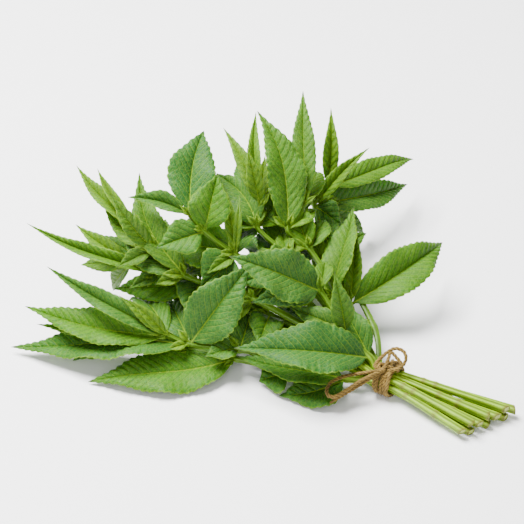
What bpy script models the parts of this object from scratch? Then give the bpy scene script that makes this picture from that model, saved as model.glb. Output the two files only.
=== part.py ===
"""Bunch of mint: ten leafy stems tied with jute twine, lying on a table.

Each leafy stem is one solid: a squared stem with its leaves grown into it. The places of stems and
leaves were read from a square picture of the bunch, as a point across and down the picture and a height
above the table. Leaves that would cross a neighbour are bent clear of it.
"""

import itertools
import math
from dataclasses import dataclass, replace

import bpy
import numpy as np
from mathutils.bvhtree import BVHTree

MM = 0.001

# View that the places were read from: looking along +Y and down, sizes in mm and picture points
VIEW_ELEVATION = math.radians(38)
VIEW_DISTANCE = 750.0
VIEW_FOCAL = 1690.0
VIEW_MIDDLE = 262.0
VIEW_AIM = np.array((-54.0, 52.0, 30.0))

# Stems, mm
CUT_RADIUS = 1.75
TIED_RADIUS = 1.27
LEAFY_RADIUS = 1.35
TIP_RADIUS = 0.9
STEM_SIDES = 8
SQUARENESS = 0.09
JOINT_SWELL = 1.1

# Bundle at the tie, mm: stems lie in three rows, and the cut ends spread a little
TIE_HEIGHT = 7.1
ROW_RISE = 2.6
STEM_PITCH = 3.0
BUNDLE_BEARING = math.radians(-30)
CUT_LENGTH = 47.0
CUT_STAGGER = 4.5
CUT_SPREAD = 2.55
CUT_HEIGHT = 4.9
CUT_ROW_RISE = 2.3
TIE_HALF_LENGTH = 5.5

# Twine, mm
TWINE_RADIUS = 0.9
TWINE_SIDES = 6
TWINE_TURNS = 5
TWINE_PITCH = 1.55
TURN_HALF_WIDTH = 7.0
TURN_HALF_HEIGHT = 6.2
TURN_STEPS = 18
# Height at which the turns are pressed flat against the table, the lowest that anything reaches
TIE_FLAT = 0.7

# Leaves
BLADE_THICKNESS = 0.72
BLADE_NECK = 0.8
BLADE_POINT = 0.5
POINT_START = 0.8
TOOTH = 0.07
CLEARANCE = 0.36
LEAF_FLOOR = 0.55
PARTNER_LENGTH = 0.85
PARTNER_WIDTH = 0.9
PARTNER_LOWEST = 4.0
LEAF_FOOT = 0.18
# How far a leaf's root goes past the middle of its stem, so that roots do not meet in one point
LEAF_SINK = 0.4


@dataclass(frozen=True)
class Leaf:
    """One leaf: the stem joint it grows at, its tip as seen, and its form."""

    joint: int
    tip: tuple[float, float, float]
    width: float
    roll: float = 0.0
    fold: float = 20.0
    arch: float = 0.07
    bow: float = 0.0
    lie: float = 0.3
    hidden: bool = False


@dataclass(frozen=True)
class Sprig:
    """One leafy stem: its slot in the tie, its joints as seen, and its leaves."""

    name: str
    slot: tuple[float, int]
    joints: tuple[tuple[float, float, float], ...]
    leaves: tuple[Leaf, ...]
    green: tuple[float, float, float]


@dataclass(frozen=True)
class Blade:
    """A leaf placed in space, in mm and degrees."""

    base: np.ndarray
    tip: np.ndarray
    width: float
    roll: float
    fold: float
    arch: float
    bow: float
    lie: float


SPRIGS = (
    Sprig(
        "sprig_front_low",
        (-1.5, 0),
        ((347, 379, 5.5), (290, 371, 6.5), (237, 359, 8), (190, 349, 9), (118, 339, 9)),
        (
            Leaf(2, (87, 382, 2), 25, fold=8, arch=0.02, bow=-0.03, lie=0.65),
            Leaf(0, (278, 396, 2.5), 22, fold=6, arch=0.0, bow=-0.08, lie=0.85),
            Leaf(0, (236, 356, 9), 18, arch=0.03, bow=-0.04, lie=0.7),
            Leaf(1, (258, 382, 3), 22, fold=6, arch=0.0, lie=0.85),
            Leaf(4, (72, 361, 2), 15, arch=0.02, lie=0.8),
        ),
        (0.10, 0.27, 0.05),
    ),
    Sprig(
        "sprig_left_low",
        (-1.0, -1),
        ((340, 364, 7), (290, 357, 9), (240, 350, 12), (190, 344, 14), (168, 336, 17)),
        (
            Leaf(3, (252, 262, 47), 26, lie=0.15),
            Leaf(3, (10, 347, 4), 24, fold=12, arch=0.04, bow=-0.02, lie=0.85),
            Leaf(4, (24, 306, 20), 20, arch=0.03, bow=-0.07, lie=0.6),
            Leaf(4, (36, 324, 12), 15, lie=0.7),
            Leaf(4, (46, 266, 38), 13, fold=40, bow=-0.035),
            Leaf(4, (118, 295, 30), 7),
            Leaf(4, (130, 300, 34), 6),
            Leaf(1, (246, 314, 9), 20, hidden=True),
            Leaf(1, (303, 324, 6), 17, hidden=True),
            Leaf(2, (252, 310, 14), 20, hidden=True),
            Leaf(2, (204, 357, 8), 15, hidden=True),
            Leaf(1, (228, 336, 6), 17, hidden=True),
            Leaf(3, (168, 298, 12), 18, hidden=True),
            Leaf(4, (128, 300, 10), 15, hidden=True),
        ),
        (0.12, 0.30, 0.05),
    ),
    Sprig(
        "sprig_left_middle",
        (0.0, -1),
        ((331, 345, 12), (270, 315, 18), (200, 282, 26), (160, 274, 29), (132, 264, 31)),
        (
            Leaf(2, (113, 289, 18), 17, bow=-0.03),
            Leaf(3, (26, 223, 41), 11, fold=50, bow=-0.055),
            Leaf(3, (92, 250, 22), 12, hidden=True),
            Leaf(4, (75, 224, 45), 9, fold=30, bow=-0.04),
            Leaf(4, (80, 265, 25), 10),
            Leaf(4, (113, 291, 2), 9),
            Leaf(1, (258, 346, 11), 17, hidden=True),
            Leaf(1, (226, 296, 13), 16, hidden=True),
            Leaf(2, (186, 316, 12), 20, hidden=True),
            Leaf(0, (276, 306, 10), 20, hidden=True),
            Leaf(0, (290, 338, 6), 16, hidden=True),
        ),
        (0.11, 0.28, 0.04),
    ),
    Sprig(
        "sprig_back_left",
        (-1.0, 1),
        ((329, 341, 18), (255, 300, 30), (186, 276, 36), (155, 250, 44), (138, 230, 50)),
        (
            Leaf(2, (139, 172, 62), 16, bow=-0.12),
            Leaf(2, (120, 212, 50), 18, bow=-0.1),
            Leaf(3, (102, 203, 48), 11, bow=-0.06),
            Leaf(4, (76, 165, 60), 9, fold=35, bow=-0.05),
            Leaf(4, (97, 168, 62), 7, fold=50, bow=-0.06),
            Leaf(1, (206, 306, 18), 17, hidden=True),
            Leaf(1, (248, 258, 26), 17, hidden=True),
            Leaf(2, (213, 250, 24), 17, hidden=True),
        ),
        (0.14, 0.31, 0.06),
    ),
    Sprig(
        "sprig_back_left_high",
        (-0.5, 0),
        ((338, 334, 17.8), (275, 270, 38), (236, 255, 45), (205, 232, 54), (190, 215, 60)),
        (
            Leaf(4, (204, 130, 78), 23, bow=-0.05),
            Leaf(3, (218, 172, 72), 20),
            Leaf(4, (127, 197, 62), 12, fold=45, bow=0.05),
            Leaf(2, (163, 242, 38), 24, bow=0.03),
            Leaf(2, (226, 188, 68), 6),
            Leaf(2, (240, 194, 66), 4),
            Leaf(1, (240, 285, 28), 16, hidden=True),
            Leaf(1, (266, 224, 34), 18, hidden=True),
            Leaf(2, (200, 288, 30), 24, hidden=True),
            Leaf(2, (249, 212, 40), 17, hidden=True),
            Leaf(1, (246, 235, 22), 17, hidden=True),
        ),
        (0.09, 0.26, 0.05),
    ),
    Sprig(
        "sprig_back_middle",
        (0.5, 0),
        ((345, 331, 16.5), (290, 260, 38), (258, 228, 49), (260, 206, 56)),
        (
            Leaf(3, (223, 127, 77), 8, bow=0.03),
            Leaf(3, (256, 111, 80), 9, fold=50, bow=-0.04),
            Leaf(2, (216, 173, 60), 21, bow=0.09),
            Leaf(3, (247, 147, 72), 8),
            Leaf(3, (265, 155, 70), 7),
            Leaf(2, (222, 221, 45), 14),
            Leaf(1, (317, 232, 26), 15, hidden=True),
            Leaf(1, (259, 264, 32), 16, hidden=True),
            Leaf(2, (288, 182, 46), 18, hidden=True),
            Leaf(3, (237, 155, 56), 15, hidden=True),
            Leaf(1, (268, 215, 20), 18, hidden=True),
        ),
        (0.11, 0.29, 0.05),
    ),
    Sprig(
        "sprig_back_high",
        (1.0, 1),
        ((354, 320, 20), (310, 250, 38), (288, 230, 46), (306, 203, 53)),
        (
            Leaf(3, (303, 90, 85), 12, bow=-0.01),
            Leaf(2, (257, 110, 82), 20, bow=0.07),
            Leaf(2, (283, 140, 70), 14),
            Leaf(1, (333, 224, 24), 14, hidden=True),
            Leaf(1, (276, 205, 44), 14, hidden=True),
            Leaf(3, (318, 172, 44), 12, hidden=True),
            Leaf(2, (318, 194, 28), 15, hidden=True),
        ),
        (0.12, 0.30, 0.06),
    ),
    Sprig(
        "sprig_back_right",
        (1.5, 0),
        ((374, 327, 13), (335, 255, 24), (314, 206, 30), (328, 187, 36)),
        (
            Leaf(3, (331, 107, 70), 9.5, fold=35, bow=0.02),
            Leaf(2, (370, 147, 52), 9, fold=35, bow=-0.02),
            Leaf(3, (414, 159, 21), 13, bow=0.01),
            Leaf(2, (408, 184, 12), 18.5, bow=0.04),
            Leaf(2, (366, 236, 3), 19),
            Leaf(1, (316, 262, 12), 16, hidden=True),
            Leaf(1, (344, 222, 12), 16, hidden=True),
            Leaf(2, (342, 226, 20), 15, hidden=True),
            Leaf(1, (310, 224, 14), 17, hidden=True),
        ),
        (0.12, 0.31, 0.07),
    ),
    Sprig(
        "sprig_right",
        (1.0, -1),
        ((360, 337, 9), (350, 305, 17), (333, 298, 22)),
        (
            Leaf(1, (443, 242, 20), 23, roll=22, fold=26, bow=0.025),
            Leaf(2, (354, 206, 48), 18, roll=-28, fold=28, bow=0.04),
            Leaf(1, (357, 229, 40), 9),
            Leaf(2, (307, 213, 42), 10),
            Leaf(0, (370, 318, 14), 10),
            Leaf(1, (312, 280, 10), 18, hidden=True),
        ),
        (0.13, 0.32, 0.06),
    ),
    Sprig(
        "sprig_middle",
        (0.0, 1),
        ((370, 358, 13), (346, 333, 20.5), (321, 292, 32), (300, 272, 38)),
        (
            Leaf(0, (233, 348, 20), 27, roll=20, fold=25, bow=-0.05, lie=0.1),
            Leaf(0, (338, 300, 25), 14),
            Leaf(1, (288, 306, 14), 12),
            Leaf(2, (250, 303, 30), 15, bow=0.03),
            Leaf(2, (228, 256, 48), 25),
            Leaf(2, (262, 286, 16), 17, hidden=True),
        ),
        (0.10, 0.28, 0.05),
    ),
)


def unit(vector):
    """The vector at length one."""
    return vector / np.linalg.norm(vector)


AXIS = np.array((math.cos(BUNDLE_BEARING), math.sin(BUNDLE_BEARING), 0.0))
ACROSS = np.array((-AXIS[1], AXIS[0], 0.0))
UP = np.array((0.0, 0.0, 1.0))
VIEW_AHEAD = np.array((0.0, math.cos(VIEW_ELEVATION), -math.sin(VIEW_ELEVATION)))
VIEW_UP = np.array((0.0, math.sin(VIEW_ELEVATION), math.cos(VIEW_ELEVATION)))
VIEW_EYE = VIEW_AIM - VIEW_DISTANCE * VIEW_AHEAD


def spot(seen):
    """The point at a given height, in mm, on the line of sight through a picture point."""
    across, down, height = seen
    ray = VIEW_AHEAD + VIEW_UP * (VIEW_MIDDLE - down) / VIEW_FOCAL
    ray = ray + np.array(((across - VIEW_MIDDLE) / VIEW_FOCAL, 0.0, 0.0))
    return VIEW_EYE + ray * (height - VIEW_EYE[2]) / ray[2]


def turned(vector, axis, degrees):
    """A vector perpendicular to the axis, turned about it."""
    angle = math.radians(degrees)
    return vector * math.cos(angle) + np.cross(axis, vector) * math.sin(angle)


def smooth_route(points, steps):
    """Points along a Catmull-Rom curve, with a number of steps for each span."""
    padded = [2 * points[0] - points[1], *points, 2 * points[-1] - points[-2]]
    found = []
    for i, count in enumerate(steps):
        a, b, c, d = padded[i : i + 4]
        for t in np.arange(count) / count:
            square = (2 * a - 5 * b + 4 * c - d) * t**2
            cube = (3 * b - a - 3 * c + d) * t**3
            found.append(0.5 * (2 * b + (c - a) * t + square + cube))
    return np.array([*found, points[-1]])


def frames_along(points, closed):
    """Two directions across a route at each of its points, carried along without twist."""
    if closed:
        tangents = np.roll(points, -1, axis=0) - np.roll(points, 1, axis=0)
    else:
        tangents = np.gradient(points, axis=0)
    tangents /= np.linalg.norm(tangents, axis=1, keepdims=True)
    first = np.empty_like(points)
    carried = np.cross(tangents[0], UP) if abs(tangents[0, 2]) < 0.9 else ACROSS
    for i, tangent in enumerate(tangents):
        carried = unit(carried - tangent * (carried @ tangent))
        first[i] = carried
    return first, np.cross(tangents, first)


def tube(points, radii, sides, closed=False, squareness=0.0):
    """Closed surface of a tube: its points, and its faces as tuples."""
    first, second = frames_along(points, closed)
    angle = 2 * math.pi * np.arange(sides) / sides + math.pi / 4
    reach = radii[:, None] * (1 + squareness * np.cos(math.pi * np.arange(sides)))
    rings = points[:, None] + reach[..., None] * (
        first[:, None] * np.cos(angle)[:, None] + second[:, None] * np.sin(angle)[:, None]
    )
    count = len(points)
    faces = []
    for i in range(count if closed else count - 1):
        here, there = i * sides, (i + 1) % count * sides
        for j in range(sides):
            k = (j + 1) % sides
            faces.append((here + j, here + k, there + k, there + j))
    if not closed:
        faces.append(tuple(reversed(range(sides))))
        faces.append(tuple(range((count - 1) * sides, count * sides)))
    return rings.reshape(-1, 3), faces


def stem_route(sprig):
    """The stem's middle line from its cut end through the tie and its joints, and its radii."""
    column, row = sprig.slot
    across = ACROSS * column * STEM_PITCH
    middle = across + UP * (TIE_HEIGHT + row * ROW_RISE)
    cut = AXIS * (CUT_LENGTH + CUT_STAGGER * column) + across * CUT_SPREAD
    cut = cut + UP * (CUT_HEIGHT + row * CUT_ROW_RISE)
    points = [cut, middle + AXIS * TIE_HALF_LENGTH, middle - AXIS * TIE_HALF_LENGTH]
    points += [spot(seen) for seen in sprig.joints]
    steps = [3, 1, 3] + [2] * (len(sprig.joints) - 1)
    route = smooth_route(points, steps)
    known_rows = (0, 3, 4, 7, len(route) - 1)
    known_radii = (CUT_RADIUS, TIED_RADIUS, TIED_RADIUS, LEAFY_RADIUS, TIP_RADIUS)
    radii = np.interp(np.arange(len(route)), known_rows, known_radii)
    joint_rows = np.cumsum(steps)[2:]
    radii[joint_rows] *= JOINT_SWELL
    return route, radii, joint_rows


def leaf_frame(blade):
    """Length of a leaf, and its directions along, out of the upper face and to the side."""
    chord = blade.tip - blade.base
    along = unit(chord)
    view = unit(VIEW_EYE - 0.5 * (blade.base + blade.tip))
    faced = view * (1 - blade.lie) + UP * blade.lie
    out = turned(unit(faced - along * (faced @ along)), along, blade.roll)
    return np.linalg.norm(chord), along, out, np.cross(along, out)


def half_width(share):
    """Half width of a leaf as a share of its greatest, at a share of its length: widest at 0.37."""
    return np.sin(math.pi * share**0.7)


def blade_shell(blade, thickness, margin=0.0, start=0.0):
    """Closed shell of a leaf: its midrib and rims, above and below, in rows with toothed rims."""
    length, along, out, side = leaf_frame(blade)
    segments = 9 if length > 48 else 7 if length > 30 else 5
    share = np.linspace(start, 1.0, segments + 1)
    teeth = 1 + TOOTH * np.cos(math.pi * np.arange(segments + 1))
    least = np.interp(share, (0.0, POINT_START, 1.0), (BLADE_NECK, BLADE_NECK, BLADE_POINT))
    half = np.maximum(0.5 * blade.width * half_width(share) * teeth, least) + margin
    bulge = length * np.sin(math.pi * share)
    rib = blade.base + np.outer(share * length - LEAF_SINK, along)
    rib += np.outer(blade.arch * bulge, out) + np.outer(blade.bow * bulge, side)
    fold = math.radians(blade.fold)
    rows = []
    for face in (1, -1):
        for hand in (-1, 0, 1):
            lift = out * math.cos(fold) - side * hand * math.sin(fold)
            lift = out / math.cos(fold) if hand == 0 else lift
            reach = side * hand * math.cos(fold) + out * abs(hand) * math.sin(fold)
            rows.append(rib + np.outer(half, reach) + face * 0.5 * thickness * lift)
    points = np.stack(rows, axis=1).reshape(-1, 3)
    around = (0, 1, 2, 5, 4, 3)
    faces = [tuple(reversed(around)), tuple(6 * segments + i for i in around)]
    for row in range(0, 6 * segments, 6):
        for i, j in zip(around, around[1:] + around[:1]):
            a, b, c, d = row + i, row + j, row + 6 + j, row + 6 + i
            if i in (1, 3) or (i, j) == (2, 5):
                faces += [(a, b, d), (b, c, d)]
            else:
                faces += [(a, b, c), (a, c, d)]
    return points, faces


def tree(shells):
    """One search tree over several surfaces."""
    points, faces, count = [], [], 0
    for shell_points, shell_faces in shells:
        points += shell_points.tolist()
        faces += [tuple(count + i for i in face) for face in shell_faces]
        count = len(points)
    return BVHTree.FromPolygons(points, faces)


class Room:
    """What has been placed so far, as one search tree for each stem and one for the twine."""

    def __init__(self):
        self.solids = {}
        self.trees = {}

    def add(self, owner, shell):
        """Adds a surface to what its owner has."""
        self.solids.setdefault(owner, []).append(shell)
        self.trees[owner] = tree(self.solids[owner])

    def is_clear(self, owner, blade, own_leaves):
        """Whether a leaf keeps off the table and off everything its own stem does not carry."""
        shell = blade_shell(blade, BLADE_THICKNESS + 2 * CLEARANCE, CLEARANCE)
        if shell[0][:, 2].min() < LEAF_FLOOR:
            return False
        tried = tree([shell])
        others = (found for name, found in self.trees.items() if name != owner)
        if any(tried.overlap(other) for other in others):
            return False
        if not own_leaves:
            return True
        outer = tree([blade_shell(blade, BLADE_THICKNESS, start=LEAF_FOOT)])
        return not outer.overlap(tree(own_leaves))


def moved(blade, depth, swing, size, roll, arch):
    """The leaf with its tip nearer the viewer, swung across the view, shortened or turned."""
    view = unit(VIEW_EYE - blade.tip)
    chord = blade.tip - blade.base
    flat = chord - view * (chord @ view)
    chord = turned(flat, view, swing) + view * (chord @ view)
    tip = blade.base + chord * size + view * depth
    return replace(
        blade, tip=tip, width=blade.width * size, roll=blade.roll + roll, arch=blade.arch + arch
    )


DEPTHS = (0, 4, -4, 8, -8, 12, -12, 17, -17, 22, -22)
ROLLS = (0, 14, -14, 28, -28)
ARCHES = (0, 0.08, -0.08)
SWINGS = (0, 14, -14, 28, -28)
SIZES = (1, 0.8)


def changes(seen):
    """Ways to move a leaf, the smallest first; a leaf read from the picture keeps its tip there."""
    ways = itertools.product(
        DEPTHS, (0,) if seen else SWINGS, (1,) if seen else SIZES, ROLLS, ARCHES
    )
    return sorted(
        ways,
        key=lambda way: abs(way[0]) / 12
        + abs(way[1]) / 20
        + (1 - way[2]) * 6
        + abs(way[3]) / 30
        + abs(way[4]) * 6,
    )


def placed(room, owner, blade, own_leaves, seen):
    """The leaf where it is clear, at the least change, or None where it would cross a neighbour."""
    for own in (own_leaves, []):
        for way in changes(seen):
            tried = moved(blade, *way)
            if room.is_clear(owner, tried, own):
                return tried
    return None


def read_blade(leaf, base):
    """The leaf as read from the picture, growing from its joint."""
    form = (leaf.width, leaf.roll, leaf.fold, leaf.arch, leaf.bow, leaf.lie)
    return Blade(base, spot(leaf.tip), *form)


def partner_blade(blade, tangent):
    """The leaf across the stem from another, a little shorter."""
    chord = blade.tip - blade.base
    across = 2 * tangent * (chord @ tangent) - chord
    tip = blade.base + PARTNER_LENGTH * across
    tip[2] = max(tip[2], PARTNER_LOWEST)
    return replace(blade, tip=tip, width=PARTNER_WIDTH * blade.width, roll=-blade.roll)


def grow(room, routes):
    """Places every leaf: those that show, those beneath them, and the partner that a pair lacks."""
    grown = {sprig.name: [] for sprig in SPRIGS}
    own = {sprig.name: [] for sprig in SPRIGS}

    def settle(name, blade, seen):
        blade = placed(room, name, blade, own[name], seen)
        if blade is None:
            return
        shell = blade_shell(blade, BLADE_THICKNESS)
        room.add(name, shell)
        own[name].append(blade_shell(blade, BLADE_THICKNESS, start=LEAF_FOOT))
        grown[name].append(blade)

    for hidden in (False, True):
        for sprig in SPRIGS:
            route, _, joint_rows = routes[sprig.name]
            for leaf in sprig.leaves:
                if leaf.hidden == hidden:
                    blade = read_blade(leaf, route[joint_rows[leaf.joint]])
                    settle(sprig.name, blade, not hidden)
    for sprig in SPRIGS:
        route, _, joint_rows = routes[sprig.name]
        tangents = np.gradient(route, axis=0)
        for joint, row in enumerate(joint_rows[:-1]):
            pair = [leaf for leaf in sprig.leaves if leaf.joint == joint]
            if len(pair) == 1:
                blade = partner_blade(read_blade(pair[0], route[row]), unit(tangents[row]))
                settle(sprig.name, blade, False)
    return grown


def twine_turn(shift):
    """The middle line of one turn of twine round the bundle."""
    angle = 2 * math.pi * (np.arange(TURN_STEPS) + 0.5) / TURN_STEPS
    middle = UP * TIE_HEIGHT + AXIS * shift
    wide = np.outer(TURN_HALF_WIDTH * np.cos(angle), ACROSS)
    return middle + wide + np.outer(TURN_HALF_HEIGHT * np.sin(angle), UP)


KNOT_SEEN = (385, 370, 14.0)
KNOT_RADII = (3.4, 2.7, 2.2)
BOW_ROUTES = (
    # Long loop, down to the table in front of the leaves
    (
        (385, 370, 14.8), (373, 371.5, 15), (363, 373, 14.5), (353, 374.5, 13.5), (341, 377.5, 11.5),
        (331, 382.5, 11), (327, 389, 10.5), (328, 395, 9.8), (334, 397, 9.5), (342, 393, 10),
        (351, 387, 11), (360, 381, 12.5), (370, 376, 14), (381, 371, 14.8),
    ),
    # Round loop, standing up behind the knot
    (
        (382, 370, 14.6), (375, 367, 15), (378, 361, 16.5), (384, 355, 19), (390, 350.5, 21),
        (396, 348.5, 22), (403, 351, 21.5), (406, 357, 20), (404, 364, 17.5), (397, 369, 15.5),
        (388, 370.5, 14.6),
    ),
    # Strand inside the round loop
    ((385, 368, 15.5), (388, 360, 18), (391, 352.5, 20.8), (397, 358, 19), (402, 364.5, 17)),
    # Free end, under the long loop
    ((383, 371, 14.4), (371, 378, 12.5), (358, 386, 10), (346, 393, 8), (336, 399, 7), (330, 403, 6)),
)


def twine_shells():
    """Surfaces of the turns, the knot and the bow, which overlap one another."""
    shells = []
    for turn in range(TWINE_TURNS):
        line = twine_turn((turn - (TWINE_TURNS - 1) / 2) * TWINE_PITCH)
        radii = np.full(TURN_STEPS, TWINE_RADIUS)
        points, faces = tube(line, radii, TWINE_SIDES, closed=True)
        points[:, 2] = np.maximum(points[:, 2], TIE_FLAT)
        shells.append((points, faces))
    for route in BOW_ROUTES:
        line = smooth_route([spot(seen) for seen in route], [1] * (len(route) - 1))
        shells.append(tube(line, np.full(len(line), TWINE_RADIUS), TWINE_SIDES))
    return shells


def knot_shell():
    """Surface of the knot: a flattened ball lying across the turns."""
    angles = np.linspace(-math.pi / 2, math.pi / 2, 7)
    line = spot(KNOT_SEEN) + np.outer(KNOT_RADII[0] * np.sin(angles), AXIS)
    return tube(line, np.maximum(KNOT_RADII[1] * np.cos(angles), 0.5), STEM_SIDES)


def mesh_object(name, points, faces, collection):
    """An object holding a closed mesh, from points in mm."""
    mesh = bpy.data.meshes.new(name)
    mesh.from_pydata((points * MM).tolist(), [], faces)
    found = bpy.data.objects.new(name, mesh)
    collection.objects.link(found)
    return found


def fused(name, shells):
    """One object made of overlapping shells, joined by a Boolean union."""
    scene = bpy.context.scene.collection
    helpers = bpy.data.collections.new(name + "_shells")
    scene.children.link(helpers)
    body = mesh_object(name, *shells[0], scene)
    for shell in shells[1:]:
        mesh_object(name + "_shell", *shell, helpers)
    union = body.modifiers.new("Grown together", "BOOLEAN")
    union.operation = "UNION"
    union.operand_type = "COLLECTION"
    union.collection = helpers
    union.solver = "EXACT"
    graph = bpy.context.evaluated_depsgraph_get()
    joined = bpy.data.meshes.new_from_object(body.evaluated_get(graph))
    body.modifiers.clear()
    body.data = joined
    for helper in list(helpers.objects):
        bpy.data.objects.remove(helper)
    bpy.data.collections.remove(helpers)
    return body


def finish(name, colour, roughness):
    """A plain material of one colour."""
    material = bpy.data.materials.new(name)
    material.use_nodes = True
    shader = material.node_tree.nodes["Principled BSDF"]
    shader.inputs["Base Color"].default_value = (*colour, 1)
    shader.inputs["Roughness"].default_value = roughness
    return material


def main():
    """Builds the stems with their leaves and the tie, with the origin under the middle of the bunch."""
    for found in list(bpy.data.objects):
        bpy.data.objects.remove(found)
    routes = {sprig.name: stem_route(sprig) for sprig in SPRIGS}
    stems = {}
    for name, (line, radii, _) in routes.items():
        stems[name] = tube(line, radii, STEM_SIDES, squareness=SQUARENESS)
    room = Room()
    twine = [*twine_shells(), knot_shell()]
    for shell in twine:
        room.add("twine_tie", shell)
    for name, shell in stems.items():
        room.add(name, shell)
    grown = grow(room, routes)

    bunch = bpy.data.objects.new("bunch", None)
    bpy.context.scene.collection.objects.link(bunch)
    pieces = [fused("twine_tie", twine)]
    pieces[0].data.materials.append(finish("jute", (0.45, 0.28, 0.13), 0.9))
    for sprig in SPRIGS:
        blades = [blade_shell(blade, BLADE_THICKNESS) for blade in grown[sprig.name]]
        piece = fused(sprig.name, [stems[sprig.name], *blades])
        piece.data.materials.append(finish(sprig.name, sprig.green, 0.5))
        pieces.append(piece)
    corners = np.concatenate([[v.co[:] for v in piece.data.vertices] for piece in pieces])
    middle = 0.5 * (corners.min(axis=0) + corners.max(axis=0))
    bunch.location = (-middle[0], -middle[1], -corners[:, 2].min())
    for piece in pieces:
        piece.parent = bunch


if __name__ == "__main__":
    main()
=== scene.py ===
"""Looks of a bunch of mint tied with jute twine, built round its fixed frame.

Ten leafy stems lie tied together. Each leaf is found again in the frame's coarse solids and redrawn there
as a fine, quilted, toothed blade, and each stem and the twine follow the same middle lines as their solids.
Places are read through a picture of the bunch: a point across and down, and a height in mm above the table.
"""

import itertools
import logging
import math
from dataclasses import dataclass, field, replace
from enum import Enum
from functools import cached_property

import bpy
import numpy as np
from mathutils.kdtree import KDTree
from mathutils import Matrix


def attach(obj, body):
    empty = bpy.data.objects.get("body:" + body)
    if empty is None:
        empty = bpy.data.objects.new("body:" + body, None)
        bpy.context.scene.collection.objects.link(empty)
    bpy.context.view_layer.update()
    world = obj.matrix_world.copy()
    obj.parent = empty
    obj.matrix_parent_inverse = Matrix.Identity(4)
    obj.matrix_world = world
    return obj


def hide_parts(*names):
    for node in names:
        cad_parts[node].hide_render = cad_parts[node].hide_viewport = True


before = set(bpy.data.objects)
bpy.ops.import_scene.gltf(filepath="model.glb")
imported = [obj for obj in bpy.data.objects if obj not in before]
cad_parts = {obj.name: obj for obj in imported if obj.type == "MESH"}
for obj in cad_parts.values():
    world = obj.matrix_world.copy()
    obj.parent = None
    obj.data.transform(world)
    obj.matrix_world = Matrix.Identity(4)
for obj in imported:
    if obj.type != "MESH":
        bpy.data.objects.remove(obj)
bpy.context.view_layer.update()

MM = 0.001
# Where the frame's origin lies in the layout, in mm
ORIGIN = np.array((-55.9126, 57.2651, 0.7))
# Height in the layout at which the tie is pressed flat, in mm
TIE_FLAT = 0.7
# Power of the share along a leaf that puts its widest place nearer its root
LEAF_POWER = 0.7
# Between which values nearly all of a noise lies
NOISE_SPAN = (0.3, 0.7)
UP = np.array((0.0, 0.0, 1.0))
log = logging.getLogger("mint")

Colour = tuple[float, float, float]
# Where something starts and ends, or two values that belong together
Span = tuple[float, float]
# A place in the studio, in metres
Place = tuple[float, float, float]
# A point across and down the picture, and a height in mm above the table
Seen = tuple[float, float, float]
# What a node's socket can be given
Fed = bpy.types.NodeSocket | float | tuple[float, ...]


class Slot(Enum):
    """The record's material slots."""

    MINT = "mint"
    JUTE = "jute"


def unit(vector: np.ndarray) -> np.ndarray:
    """The vector at length one."""
    return vector / np.linalg.norm(vector)


def units(vectors: np.ndarray) -> np.ndarray:
    """Each row's vector at length one."""
    return vectors / np.linalg.norm(vectors, axis=-1, keepdims=True)


def turned(vector: np.ndarray, axis: np.ndarray, degrees: float) -> np.ndarray:
    """A vector perpendicular to the axis, turned about it."""
    angle = math.radians(degrees)
    return vector * math.cos(angle) + np.cross(axis, vector) * math.sin(angle)


@dataclass(frozen=True)
class View:
    """The viewing angle that places are read from: looking along +Y and down, in mm and picture points."""

    elevation: float = math.radians(38)
    distance: float = 750.0
    focal: float = 1690.0
    picture: float = 524.0
    aim: tuple[float, float, float] = (-54.0, 52.0, 30.0)

    @cached_property
    def ahead(self) -> np.ndarray:
        """The direction that the view looks in."""
        return np.array((0.0, math.cos(self.elevation), -math.sin(self.elevation)))

    @cached_property
    def upward(self) -> np.ndarray:
        """The direction that is up in the picture."""
        return np.array((0.0, math.sin(self.elevation), math.cos(self.elevation)))

    @cached_property
    def eye(self) -> np.ndarray:
        """Where the view is seen from, mm."""
        return np.array(self.aim) - self.distance * self.ahead

    def spot(self, seen: Seen) -> np.ndarray:
        """The point at a given height on the line of sight through a picture point.

        Args:
            seen: The point across and down the picture, and its height in mm.

        Returns:
            The point in mm.
        """
        across, down, height = seen
        middle = 0.5 * self.picture
        ray = self.ahead + self.upward * (middle - down) / self.focal
        ray = ray + np.array(((across - middle) / self.focal, 0.0, 0.0))
        return self.eye + ray * (height - self.eye[2]) / ray[2]


VIEW = View()


@dataclass(frozen=True)
class Bundle:
    """The stems where they are tied and where they are cut, mm."""

    height: float = 7.1
    row_rise: float = 2.6
    pitch: float = 3.0
    bearing: float = math.radians(-30)
    cut_length: float = 47.0
    cut_stagger: float = 4.5
    cut_spread: float = 2.55
    cut_height: float = 4.9
    cut_row_rise: float = 2.3
    half_length: float = 5.5

    @cached_property
    def axis(self) -> np.ndarray:
        """The direction of the bundle, towards the cut ends."""
        return np.array((math.cos(self.bearing), math.sin(self.bearing), 0.0))

    @cached_property
    def across(self) -> np.ndarray:
        """The level direction across the bundle."""
        return np.array((-self.axis[1], self.axis[0], 0.0))


BUNDLE = Bundle()


@dataclass(frozen=True)
class Leaf:
    """One leaf: the stem joint it grows at, its tip as seen, and its form."""

    joint: int
    tip: Seen
    width: float
    roll: float = 0.0
    fold: float = 20.0
    arch: float = 0.07
    bow: float = 0.0
    lie: float = 0.3


@dataclass(frozen=True)
class Sprig:
    """One leafy stem: its slot in the tie, its joints as seen, its leaves, and how yellow its green is."""

    name: str
    slot: tuple[float, int]
    joints: tuple[Seen, ...]
    leaves: tuple[Leaf, ...]
    yellow: float = 0.2


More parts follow.
